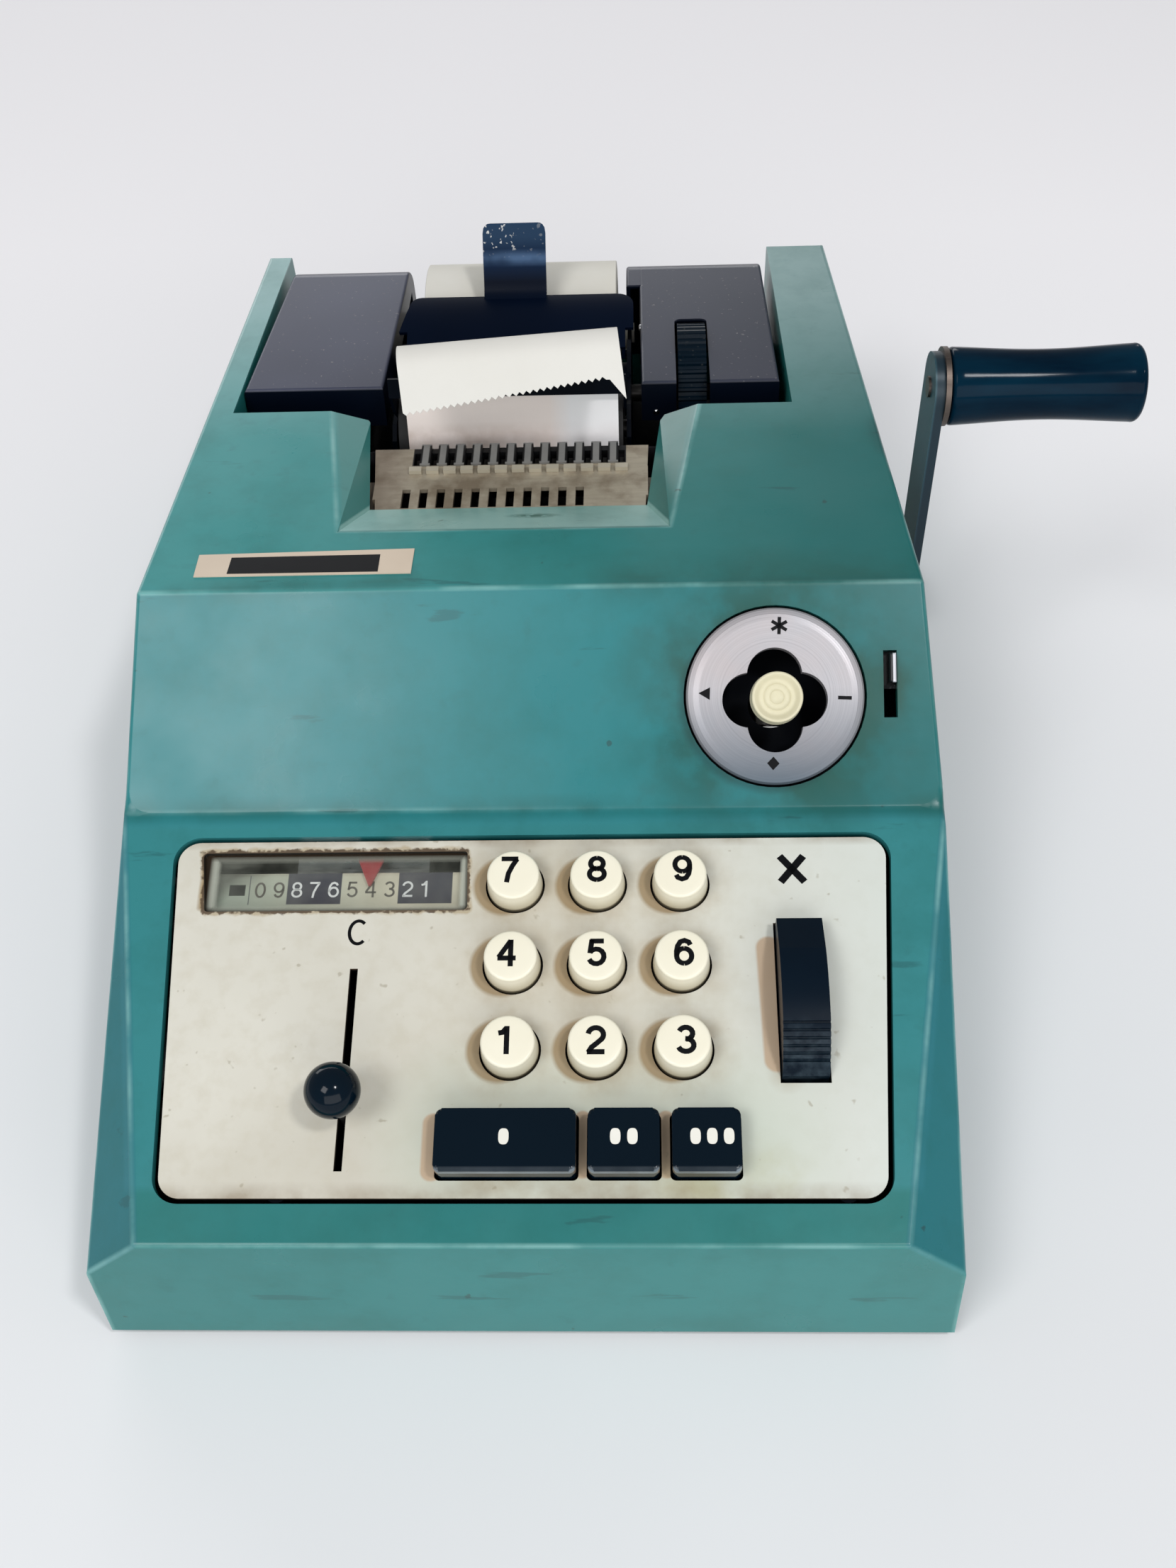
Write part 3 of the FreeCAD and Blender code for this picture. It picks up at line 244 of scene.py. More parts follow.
    def on_plane(self, matrix, letters):
        """The place along a plane's own x, s and h, or the drawing's x, y and z, in millimetres."""
        inverse = matrix.inverted()
        out = []
        for letter in letters:
            axis = self.AXES[letter]
            along = self.vector("DOT_PRODUCT", self.place, inverse[axis].to_3d())
            out.append(self.math("ADD", along, inverse.translation[axis]))
        return out

    def set(self, **values):
        for key, value in {"color": self.color, **values}.items():
            self.fill(self.shader.inputs[self.SOCKETS[key]], value)

    def done(self, grain, strength, **values):
        """The material with its values set and a fine bump, from a mask or a noise's scale."""
        self.set(**values)
        height = grain if isinstance(grain, bpy.types.NodeSocket) else self.noise(grain, 2)
        inputs = {"Height": height, "Strength": strength, "Distance": 0.0001}
        self.fill(self.shader.inputs["Normal"], self.node("ShaderNodeBump", inputs, "Normal"))
        return self.material


def case_planes(f, x, y):
    """Teal with painted light and shade: each plane a lighter or darker tone, the slope darker to the right,
    a painted sheen that grows to the left over the top and the front face, and paler towards the rear of the
    top.
    """
    f.cloudy(9, (32, 112, 112), (44, 124, 120))
    # Every tone laid below is painted light and shade on a plane, not a change of paint.
    slope = f.within(f.on_plane(SLOPE, "h")[0], *FACE)
    f.lay((30, 124, 134), slope, 0.5)
    f.lay((12, 86, 84), slope, f.ramp(x, 25, 85, 0.0, 0.55))
    top = f.times(f.within(f.on_plane(TOP, "h")[0], -0.5, 1.6, 0.2), f.ramp(y, 139, 141))
    tone = f.mix(f.ramp(x, -80, 10), (56, 144, 144), (36, 122, 120))
    tone = f.mix(f.ramp(x, 10, 75), tone, (20, 97, 95))
    f.lay(tone, top, 0.8)
    f.lay((160, 182, 182), top, f.ramp(y, 205, 280, 0.0, 0.5))
    s, h = f.on_plane(DECK, "sh")
    deck = f.times(f.within(h, *FACE), f.within(s, 12, 99, 1))
    f.lay((58, 138, 146), deck, 0.5)
    facets = []
    for side in (LEFT, RIGHT):
        facets.append(f.near_plane(corner("front", side), corner("deck", side), corner("ridge", side)))
    facet = f.times(f.most(facets), f.within(y, -1, 99, 0.5))
    f.lay((22, 104, 120), facet, 0.55)
    f.lay((54, 132, 130), f.ramp(y, 0.6, -0.6), f.ramp(x, -80, -20, 0.0, 0.4))


def window_bevels(f, x, y):
    """Slanted faces of the print window painted paler as painted light, the right wall darker as painted
    shade, with a smear on the front one.
    """
    depth = f.on_plane(TOP, "h")[0]
    window = f.times(f.within(x, -60, 45, 1), f.within(y, 163, 222, 0.5), f.within(depth, -14, -0.5, 0.2))
    bevel = f.times(window, f.within(f.on_plane(BEVEL, "h")[0], -0.8, 0.8, 0.2))
    # Painted light on the walls and the front bevel; painted shade on the right wall.
    f.lay((104, 160, 152), window, 0.2)
    f.lay((18, 92, 86), window, f.ramp(x, 30, 34, 0.0, 0.55))
    f.lay((142, 188, 182), bevel, 0.85)
    smear = f.near_point(row(-0.8, 175.7, 88), 0.002, 0.008, (1, 3, 3))
    f.lay((34, 104, 96), smear, f.patches(420, 4, 0.35, 0.5))


def rubbed_creases(f, x, y):
    """Mask of worn paint and painted highlights along the creases, least on the right of the one behind the
    deck.
    """
    edge = f.most([f.near_line(a, b, 0.0001, 0.001) for a, b in creases()])
    wear_and_glint = f.math("ADD", f.times(f.patches(55, 4, 0.42, 0.62), 0.34), 0.14)
    dull = f.times(f.within(y, 96, 102, 1), f.ramp(x, -60, 30, 0.35, 0.9))
    return f.times(edge, wear_and_glint, f.math("SUBTRACT", 1.0, dull))


def case_grime(f):
    """Mask of dark grime and painted shade round the dial and the tab's slot, and along some edges."""
    lines = [
        (row(-97, *DECK_REAR), row(97, *DECK_REAR), 0.0, 0.004, 0.5),
        (row(25, 144, 95.3), row(92, 144, 95.3), 0.0, 0.012, 0.55),
        (row(-86, 142, 95.4), row(-30, 144, 95.3), 0.0, 0.005, 0.5),
        (row(-92, 6, 4), row(92, 6, 4), 0.002, 0.012, 0.35),
    ]
    masks = [f.times(f.near_line(a, b, inner, outer), share) for a, b, inner, outer, share in lines]
    masks.append(f.near_point(spot(SLOPE, *DIAL), 0.0212, 0.041))
    masks.append(f.near_point(spot(SLOPE, *TAB_SLOT), 0.003, 0.017, (1.6, 1, 1)))
    return f.times(f.most(masks), f.patches(70, 5, 0.3, 0.58))


def casing_paint():
    """Teal enamel: cloudy planes with painted light and shade, pale creases from wear and painted
    highlights, grime and painted shade round the dial and slot, and a painted shadow beside the dial ring.
    """
    f = Finish("teal_enamel")
    x, y = f.on_plane(MODEL, "xy")
    case_planes(f, x, y)
    window_bevels(f, x, y)
    f.lay((20, 90, 82), f.ramp(f.noise(48, 6, 0.65), 0.45, 0.7), 0.28)
    f.lay((30, 88, 88), f.patches(160, 3, 0.62, 0.72), 0.14)
    # Pale creases: worn paint and painted highlights.
    f.lay((150, 200, 196), rubbed_creases(f, x, y))
    # Dark grime and painted shade round the dial and slot, in the creases and along the foot.
    f.lay((26, 72, 60), case_grime(f), 0.8)
    # Painted shadow of the dial ring, on its left.
    rim = f.near_point(spot(SLOPE, 56.8, 24.9), 0.0205, 0.0222)
    f.lay((12, 60, 60), rim, 0.55)
    scratches = f.ramp(f.noise(24, 6, stretch=(1, 6, 6)), 0.67, 0.7)
    f.lay((22, 62, 64), scratches, 0.35)
    f.lay((36, 44, 40), f.patches(130, 3, 0.735, 0.755), 0.5)
    return f.done(420, 0.12, roughness=f.uneven(40, 0.26, 0.36), specular=0.4)


def deck_line(f, start, end, inner, outer):
    """Mask near a line between two places (x, s) on the deck."""
    return f.near_line(spot(DECK, *start), spot(DECK, *end), inner, outer)


def key_grime(f):
    """Brown grime round the keys, with painted shadows: crescents at their left, a line at the window's left
    edge, and tan patches beside the rocker and the black keys.
    """
    keys = [(x, s) for x in KEY_COLUMNS for s in KEY_ROWS]
    films = [f.near_point(spot(DECK, x - 0.6, s), 0.0065, 0.014) for x, s in keys]
    films.append(deck_line(f, (57.5, 37), (56, 66), 0.0005, 0.005))
    films.append(deck_line(f, (-10, 13.2), (46, 13.2), 0.001, 0.004))
    # Painted shadows to the left of the keys and at the window's left edge.
    shadow_spots = [f.near_point(spot(DECK, x - 2.4, s), 0.0068, 0.0078) for x, s in keys]
    shadow_spots.append(deck_line(f, (-76, 77), (-76, 90), 0.0003, 0.0012))
    # Painted shadows beside the rocker and the bar keys.
    patches = []
    for start, end, reach in (((55.4, 40), (54.6, 66), 0.0031), ((-19, 16), (-19, 26), 0.0026),
                              ((13.2, 16), (13.2, 27), 0.002), ((31, 16), (31, 27), 0.002)):
        patches.append(deck_line(f, start, end, 0.8 * reach, reach))
    f.lay((158, 138, 104), f.most(films), f.patches(110, 5, 0.36, 0.7), 0.6)
    f.lay((146, 122, 84), f.most(shadow_spots), 0.85)
    f.lay((186, 158, 128), f.most(patches), 0.85)
    moss = f.near_point(spot(DECK, 45, 12), 0.003, 0.014, (0.6, 1, 1))
    f.lay((176, 172, 122), moss, f.patches(80, 4, 0.4, 0.65), 0.5)


def edge_grime(f):
    """Brown halo and crumbs round the column window, and brown lines in front and behind."""
    corners = [spot(DECK, *place) for place in ((-77, 91), (-14.5, 91), (-13.9, 75.9), (-75.1, 75.9))]
    border = f.most([f.near_line(a, b, 0.0, 0.0026) for a, b in zip(corners, corners[1:] + corners[:1])])
    halo = f.ramp(f.math("ADD", border, f.times(f.noise(260, 4), 0.9)), 1.0, 1.25)
    f.lay((168, 146, 104), halo, 0.6)
    crumbs = f.ramp(f.math("ADD", border, f.times(f.noise(620, 3), 0.8)), 1.12, 1.24)
    f.lay((74, 54, 34), crumbs, 0.9)
    front = deck_line(f, (-76, 10.2), (77, 10.2), 0.0002, 0.0035)
    rear = deck_line(f, (-80, 93.4), (82, 93.4), 0.0, 0.002)
    f.lay((132, 112, 84), f.most([front, rear]), f.patches(95, 5, 0.36, 0.66), 0.65)


def panel_paint():
    """Cream enamel, cooler to the right as painted light, with brown grime round the window and the keys,
    painted shadows beside the keys, and painted shade on its front lip and below its edge.
    """
    f = Finish("cream_enamel")
    x, h = f.on_plane(DECK, "xh")
    f.color = f.mix(f.patches(14, 4, 0.3, 0.7), (198, 193, 178), (217, 214, 202))
    f.lay((190, 182, 160), f.patches(240, 4, 0.45, 0.7), 0.25)
    # Painted light: cooler and paler towards the right.
    f.lay((212, 222, 218), f.ramp(x, 20, 82, 0.0, 0.6))
    f.lay((192, 204, 188), deck_line(f, (-10, 22), (46, 22), 0.006, 0.026), 0.55)
    key_grime(f)
    edge_grime(f)
    f.lay((150, 140, 116), f.patches(330, 2, 0.7, 0.76), 0.5)
    # Painted shade on the front lip and below the panel's edge.
    f.lay((132, 112, 92), f.ramp(h, -0.38, -0.5))
    f.lay((34, 32, 28), f.ramp(h, -0.7, -0.95))
    return f.done(600, 0.1, roughness=f.uneven(60, 0.4, 0.55, 3), coat=0.08, coat_roughness=0.35)


def plain(name, dark, light, rough, scale, bump, bump_scale=500, dust=0.0, **more):
    """Two-tone cloudy finish with fine bump, and dust specks where asked."""
    f = Finish(name)
    f.cloudy(scale, dark, light)
    if dust:
        f.lay((170, 165, 155), f.patches(900, 2, 0.68, 0.74), dust)
    return f.done(bump_scale, bump, roughness=f.uneven(scale * 2, *rough), **more)


def brushed(name, dark, light, stretch, rough=(0.25, 0.42), metallic=1.0):
    """Metal with fine lines along one direction."""
    f = Finish(name)
    lines = f.noise(260, 4, stretch=stretch)
    f.color = f.mix(lines, dark, light)
    return f.done(lines, 0.12, metallic=metallic, roughness=f.ramp(lines, 0.3, 0.7, *rough))


def bar_plastic():
    """Glossy black of the bar keys, paler along the front bevel as a painted highlight."""
    f = Finish("bar_black")
    s, h = f.on_plane(DECK, "sh")
    chamfer_highlight = f.times(f.within(h, 4.2, 5.9, 0.15), f.ramp(s, 15.4, 15.0))
    f.cloudy(30, (2, 16, 27), (4, 20, 32))
    # Painted highlight along the front bevel.
    f.lay((128, 138, 146), chamfer_highlight, f.patches(150, 3, 0.3, 0.6, 0.6, 1.0))
    return f.done(200, 0.02, roughness=0.1, specular=0.16)


def grip_plastic():
    """Dark blue moulded grip, with lighter streaks along its length."""
    f = Finish("grip_blue")
    streaks = f.ramp(f.noise(90, 4, stretch=(0.25, 1, 1)), 0.35, 0.7)
    f.color = f.mix(streaks, (1, 20, 36), (4, 40, 58))
    return f.done(200, 0.02, roughness=f.uneven(60, 0.1, 0.16, 3), specular=0.06)


def tab_metal():
    """Polished tab, painted dark down its left side as painted shade and pale along the right of its top as
    a painted highlight.
    """
    f = Finish("tab_metal")
    x, h = f.on_plane(SLOPE, "xh")
    # Painted highlight on the right of the top; painted shade elsewhere.
    painted_light = f.times(f.ramp(x, 85.35, 85.6), f.ramp(h, 1.2, 1.8))
    f.color = f.mix(painted_light, (12, 14, 18), (216, 216, 222))
    return f.done(300, 0.02, metallic=0.3, roughness=0.25)


def rocker_plastic():
    """Black plastic of the rocker, dusty on its ribbed front slope."""
    f = Finish("ribbed_black")
    front = f.ramp(f.on_plane(DECK, "s")[0], 47, 42)
    f.cloudy(60, (2, 15, 27), (6, 22, 36))
    f.lay((72, 88, 98), front, f.patches(220, 4, 0.4, 0.62), 0.4)
    return f.done(300, 0.08, roughness=0.28, specular=0.12)


def flap_paint():
    """Navy-black enamel with dust; the tab is painted bluer and lighter upwards as painted sheen, with a
    painted highlight where it bends.
    """
    f = Finish("navy_black")
    x, z = f.on_plane(MODEL, "xz")
    f.cloudy(30, (2, 9, 24), (3, 14, 34))
    # Painted sheen: bluer up the tab.
    f.lay((10, 38, 70), f.ramp(z, 93, 97, 0.0, 0.6))
    # Painted highlight where the tab bends.
    band = f.within(z, 97.6, 99.4, 1.2)
    f.lay((96, 126, 164), band, f.patches(80, 3, 0.3, 0.6), 0.7)
    # Painted sheen on the tab's upper part.
    f.lay((36, 60, 86), f.ramp(z, 99.5, 103, 0.0, 0.8))
    dust = f.times(f.patches(700, 2, 0.62, 0.66), f.ramp(z, 98.5, 102, 0.0, 0.9))
    f.lay((206, 206, 204), dust, f.ramp(x, -4, -10, 0.2, 1.0))
    return f.done(300, 0.06, roughness=0.32, specular=0.07)


def key_plastic():
    """Cream key plastic, browner down the sides from grime and painted shade, and darkened by painted shade
    where it meets the panel.
    """
    f = Finish("ivory")
    height = f.on_plane(DECK, "h")[0]
    f.cloudy(60, (236, 230, 206), (246, 241, 222))
    # Grime and painted shade down the sides; painted shade at the panel.
    f.lay((176, 164, 130), f.ramp(height, 4.6, -0.5, 0.0, 0.75))
    f.lay((60, 50, 38), f.ramp(height, 0.9, 0.3, 0.0, 0.8))
    return f.done(300, 0.03, roughness=f.uneven(120, 0.28, 0.4), coat=0.1)


def grimy_plate():
    """Type guide: dull nickel with brown dirt, grey tines with dark sides painted as shade of the slots, and
    cream stops.
    """
    f = Finish("grimy_nickel")
    x, y, z = f.on_plane(MODEL, "xyz")
    f.color = f.mix(f.noise(120, 4, stretch=(1, 6, 1)), (150, 141, 124), (190, 179, 160))
    f.lay((94, 76, 54), f.patches(90, 5, 0.42, 0.62), 0.65)
    f.lay((98, 80, 64), f.ramp(x, -32, -42, 0.0, 0.6))
    raised = f.ramp(z, 84.1, 84.4)
    f.lay((132, 134, 136), raised, f.ramp(y, 200.2, 200.6), 0.8)
    # Painted shade down both sides of each tine, where the slots look dark.
    side = f.math("PINGPONG", f.math("SUBTRACT", x, TINE_X), TINE_PITCH / 2)
    edges = f.times(f.ramp(side, 0.75, 0.95), f.within(y, 201.6, 209.2, 0.2))
    f.lay((10, 11, 14), edges, f.within(x, -34.7, 22.9, 0.1))
    f.lay((196, 188, 170), raised, f.ramp(y, 200.6, 200.2), 0.8)
    return f.done(f.noise(400, 3), 0.15, metallic=0.35, roughness=f.uneven(90, 0.38, 0.6))


def cover_paint():
    """Navy-black enamel whose top faces carry a pale painted sheen, more so on the left, with dust specks.
    """
    f = Finish("satin_black")
    dust_and_painted_light = f.ramp(f.on_plane(COVER_TOP, "h")[0], -0.7, -0.2)
    pale = f.mix(f.ramp(f.on_plane(MODEL, "x")[0], -84, 66), (84, 88, 110), (44, 50, 62))
    pale = f.mix(f.patches(16, 2, 0.2, 0.8), pale, (62, 64, 78))
    f.cloudy(25, (2, 7, 18), (5, 12, 26))
    # Painted sheen on the top faces, paler to the left.
    f.lay(pale, dust_and_painted_light, 0.8)
    f.lay((170, 165, 160), dust_and_painted_light, f.patches(900, 2, 0.68, 0.74), 0.3)
    return f.done(600, 0.04, roughness=f.uneven(20, 0.3, 0.34, 2), specular=0.2)


def paper(name, warm=0.0):
    """Tape paper; the part in the print window is lightened by painted light, whitest on the right and
    pinker on the left, with painted shade browning its lower end.
    """
    f = Finish(name)
    x, y, z = f.on_plane(MODEL, "xyz")
    f.cloudy(30, (214 - 10 * warm, 211 - 12 * warm, 203 - 22 * warm), (226, 224, 219))
    lower = f.times(f.within(y, 213, 221.5, 0.5), f.within(z, 78, 99, 2))
    # Painted light on the tape in the print window, whitest on the right.
    painted_light = f.mix(f.ramp(x, 8, 2), (252, 250, 252), (254, 240, 234))
    f.lay(painted_light, lower, 0.9)
    # Painted shade browning the lower end.
    painted_shade_tint = f.times(f.ramp(z, 86.5, 83.5), f.patches(140, 4, 0.3, 0.62), f.ramp(x, 6, -16, 0.25, 1.0))
    f.lay((164, 132, 104), painted_shade_tint, lower, 0.35)
    return f.done(f.noise(1500, 3, stretch=(1, 3, 3)), 0.25, roughness=0.9, specular=0.2)


def scale_leaf():
    """Printed leaf under the window: two dark groups on a pale ground, a block and a line."""
    f = Finish("printed_leaf")
    x, s = f.on_plane(DECK, "xs")

    def block(left, right, near, far):
        return f.times(f.within(x, left, right, 0.08), f.within(s, near, far, 0.08))

    groups = [block(-57.3, -44.5, 79.6, 87.8), block(-31, -18.3, 79.6, 88.1), block(-66.4, -66.2, 79.6, 87)]
    dirt = f.patches(110, 5, 0.35, 0.75)
    pale = f.mix(f.ramp(x, -75, -30), (150, 164, 150), (202, 198, 176))
    pale = f.mix(f.times(dirt, 0.35), pale, (128, 122, 104))
    pale = f.mix(f.ramp(s, 86.5, 89, 0.0, 0.7), pale, (138, 118, 104))
    shadow = f.ramp(f.math("ADD", x, f.times(s, -1.6)), -201, -209, 0.0, 0.75)
    pale = f.mix(shadow, pale, (52, 48, 42))
    dark = f.mix(dirt, (52, 54, 66), (72, 70, 76))
    f.color = f.mix(f.most(groups), pale, dark)
    f.lay((8, 9, 12), block(-71.1, -67.3, 81.9, 84.7))
    return f.done(500, 0.08, roughness=0.6, specular=0.2)


def clear_pane():
    """Thin clear pane with a dust layer, thicker along its edges, and painted shade darkening both ends."""
    f = Finish("dusty_pane")
    x, s = f.on_plane(DECK, "xs")
    inside = f.times(f.within(x, -74.7, -14.8, 0.8), f.within(s, 77.2, 89.9, 0.7))
    edge = f.math("SUBTRACT", 1.0, inside)
    # Painted shade at both ends of the pane.
    ends = f.most([f.ramp(x, -72.8, -74.6), f.ramp(x, -16.4, -15.2)])
    streak = f.times(f.ramp(f.noise(40, 4, stretch=(1, 5, 5)), 0.5, 0.7), f.ramp(x, -35, -70))
    dust_and_painted_light = f.math("ADD", f.times(edge, 0.72), f.patches(90, 5, 0.4, 0.75, 0.0, 0.07))
    dust_and_painted_light = f.most([dust_and_painted_light, f.times(ends, 0.86)])
    alpha = f.math("ADD", dust_and_painted_light, f.math("ADD", f.times(streak, 0.08), 0.02))
    f.color = f.mix(edge, (196, 200, 186), (48, 38, 28))
    f.set(roughness=0.15, specular=0.15, alpha=alpha)
    return f.material


def dial_metal():
    """Aluminium turned round the dial's middle: fine circular lines, and painted shade darkening it towards
    the front.
    """
    f = Finish("turned_aluminium")
    axis = (SLOPE.to_3x3() @ Vector((0, 0, 1))).normalized()
    offset = f.vector("SUBTRACT", f.place, spot(SLOPE, *DIAL))
    radius = f.vector("LENGTH", f.vector("CROSS_PRODUCT", offset, axis))
    inputs = {"W": f.times(radius, 2600.0), "Scale": 1.0, "Detail": 3.0}
    rings = f.node("ShaderNodeTexNoise", inputs, "Fac", noise_dimensions="1D")
    f.color = f.mix(rings, (160, 158, 162), (186, 184, 188))
    f.lay((190, 172, 168), f.patches(60, 3, 0.4, 0.65), 0.25)
    # Painted shade towards the front of the ring.
    front = f.ramp(f.on_plane(SLOPE, "s")[0], DIAL[1] - 20, DIAL[1] + 2, 1.0, 0.0)
    f.lay((94, 104, 114), front)
    rough = f.ramp(rings, 0.3, 0.7, 0.36, 0.48)
    return f.done(rings, 0.1, metallic=0.42, roughness=rough, specular=0.26)


def arm_paint():
    """Slate teal strap of the crank, painted darker on its outer face and lower down as painted shade."""
    f = Finish("slate_teal")
    x, z = f.on_plane(MODEL, "xz")
    f.cloudy(35, (34, 66, 76), (48, 80, 90))
    # Painted shade on the outer face and the lower part.
    f.lay((4, 26, 40), f.ramp(x, 98.7, 99.1, 0.0, 0.8))
    f.lay((8, 34, 48), f.ramp(z, 100, 84, 0.0, 0.5))
    f.lay((34, 42, 46), f.patches(140, 4, 0.6, 0.68), 0.4)
    return f.done(300, 0.08, roughness=0.38, metallic=0.2)


# Mesh helpers

PRINT_THICK = 0.05


def link(made):
    bpy.context.scene.collection.objects.link(made)


def mesh_from(bm, name):
    mesh = bpy.data.meshes.new(name)
    bm.to_mesh(mesh)
    bm.free()
    return mesh


def new_object(name, bm, finish, body, slot, replaces=(), smooth=40):
    """Object that moves with a body; smooth is the sharpest soft edge in degrees, 0 for none."""
    mesh = mesh_from(bm, name)
    made = bpy.data.objects.new(name, mesh)
    link(made)
    mesh.materials.append(finish)
    if smooth:
        mesh.polygons.foreach_set("use_smooth", [True] * len(mesh.polygons))
        mesh.set_sharp_from_angle(angle=math.radians(smooth))
    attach(made, body)
    if replaces:
        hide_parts(*replaces)


def bridge(bm, low, high):
    """Faces between two closed rings, either of which may be a single vertex."""
    count = max(len(low), len(high))
    for k in range(count):
        n = (k + 1) % count
        if len(low) == 1:
            bm.faces.new((low[0], high[n], high[k]))
        elif len(high) == 1:
            bm.faces.new((low[k], low[n], high[0]))
        else:
            bm.faces.new((low[k], low[n], high[n], high[k]))


def arc(centre, radius, start, end, steps):
    """Points on an arc, angles in degrees."""
    return ellipse(*centre, radius, radius, start, end, steps)


def ellipse(x, y, half_x, half_y, start, end, steps=12):
    """Points on part of an ellipse, angles in degrees."""
    angles = [math.radians(start + (end - start) * k / steps) for k in range(steps + 1)]
    return [(x + half_x * math.cos(a), y + half_y * math.sin(a)) for a in angles]


def lathe(name, profile, matrix, finish, body, segments=72, **more):
    """Body turned about its local Z, from (radius, height) points; radius 0 closes an end."""
    bm = bmesh.new()
    rings = []
    for radius, height in profile:
        if radius < 1e-6:
            rings.append([bm.verts.new(matrix @ Vector((0, 0, height)))])
            continue
        ring = []
        for k in range(segments):
            a = math.tau * k / segments
            ring.append(bm.verts.new(matrix @ Vector((radius * math.cos(a), radius * math.sin(a), height))))
        rings.append(ring)
    for low, high in zip(rings, rings[1:]):
        bridge(bm, low, high)
    bmesh.ops.recalc_face_normals(bm, faces=bm.faces)
    new_object(name, bm, finish, body, **more)


def flat_shape(name, outlines, matrix, finish, slot, body="machine", thick=PRINT_THICK):
    """Thin raised shapes from (x, s) outlines on a plane, such as printed marks."""
    bm = bmesh.new()
    for outline in outlines:
        low = [bm.verts.new(matrix @ Vector((x, s, 0))) for x, s in outline]
        high = [bm.verts.new(matrix @ Vector((x, s, thick))) for x, s in outline]
        bm.faces.new(high)
        bm.faces.new(low[::-1])
        bridge(bm, low, high)
    bmesh.ops.recalc_face_normals(bm, faces=bm.faces)
    new_object(name, bm, finish, body, slot, smooth=0)


def stroke(points, width):
    """Outline of a line of even width through points, with square ends and no long mitres."""
    sharpest = 0.6
    places = [Vector(point) for point in points]
    steps = [(b - a).normalized() for a, b in zip(places, places[1:])]
    left, right = [], []
    for k, place in enumerate(places):
        before = steps[max(k - 1, 0)]
        after = steps[min(k, len(steps) - 1)]
        side = Vector((-before.y, before.x))
        mid = (side + Vector((-after.y, after.x))).normalized()
        reach = mid * width / 2 / max(mid.dot(side), sharpest)
        left.append(tuple(place + reach))
        right.append(tuple(place - reach))
    return left + right[::-1]


def ring_of_two(x, y, half_x, half_y):
    """Closed oval as two half ellipses, so that each can be drawn as a stroke."""
    return [ellipse(x, y, half_x, half_y, 90, 270), ellipse(x, y, half_x, half_y, -90, 90)]


# Centre lines of the figures in a box one unit high and FIGURE_WIDTH wide
FIGURE_WIDTH = 0.7
SIX_HOOK = [(0.23, 0.26), (0.17, 0.37), (0.02, 0.43), (-0.13, 0.38), (-0.23, 0.22), (-0.27, 0.02),
            (-0.27, -0.15)]
SIX = ring_of_two(0, -0.15, 0.27, 0.2775) + [SIX_HOOK]
FIGURES = {
    "0": ring_of_two(0, 0, 0.27, 0.4275),
    "1": [[(0.1, -0.5), (0.1, 0.5)], [(-0.2, 0.25), (-0.04, 0.28), (0.07, 0.42)]],
    "2": [ellipse(0, 0.18, 0.27, 0.2475, 172, -38) + [(0.04, -0.12), (-0.15, -0.27), (-0.26, -0.45)],
          [(-0.31, -0.4275), (0.31, -0.4275)]],
    "3": [ellipse(0, 0.215, 0.24, 0.2125, 160, -90), ellipse(0, -0.2, 0.275, 0.2275, 95, -162)],
    "4": [[(0.14, -0.5), (0.14, 0.5)], [(0.14, 0.47), (-0.29, -0.16)], [(-0.33, -0.19), (0.33, -0.19)]],
    "5": [[(-0.22, 0.4275), (0.27, 0.4275)], [(-0.16, 0.48), (-0.23, -0.03)],
          ellipse(0, -0.15, 0.275, 0.2775, 146, -158)],
    "6": SIX,
    "7": [[(-0.31, 0.4275), (0.31, 0.4275)], [(0.27, 0.42), (0.1, 0.15), (-0.04, -0.15), (-0.1, -0.5)]],
    "8": ring_of_two(0, 0.21, 0.235, 0.2175) + ring_of_two(0, -0.2, 0.275, 0.2275),
    "9": [[(-x, -y) for x, y in line] for line in SIX],
    "C": [ellipse(0, 0, 0.33, 0.447, 48, 312, 24)],
}


def figure(name, sign, place, size, width, matrix, finish, slot, body="machine", thick=PRINT_THICK):
    """Printed figure centred on (x, s) of a plane, of a width and height and a line width."""
    outlines = []
    for line in FIGURES[sign]:
        points = [(place[0] + x * size[0] / FIGURE_WIDTH, place[1] + y * size[1]) for x, y in line]
        outlines.append(stroke(points, width))
    flat_shape(name, outlines, matrix, finish, slot, body, thick)


def oval(x, s, half_x, half_s):
    """Outline between an ellipse and a rectangle."""
    steps, squareness = 28, 0.72
    out = []
    for k in range(steps):
        a = math.tau * k / steps
        across, along = math.cos(a), math.sin(a)
        out.append((x + half_x * math.copysign(abs(across) ** squareness, across),
                    s + half_s * math.copysign(abs(along) ** squareness, along)))
    return out


def bar_shape(x, s, length, width, angle):
    """Outline of a narrow bar centred on a place."""
    a = math.radians(angle)
    u = Vector((math.cos(a), math.sin(a))) * length / 2
    v = Vector((-math.sin(a), math.cos(a))) * width / 2
    centre = Vector((x, s))
    return [tuple(centre + p) for p in (-u - v, u - v, u + v, -u + v)]


# Finishes

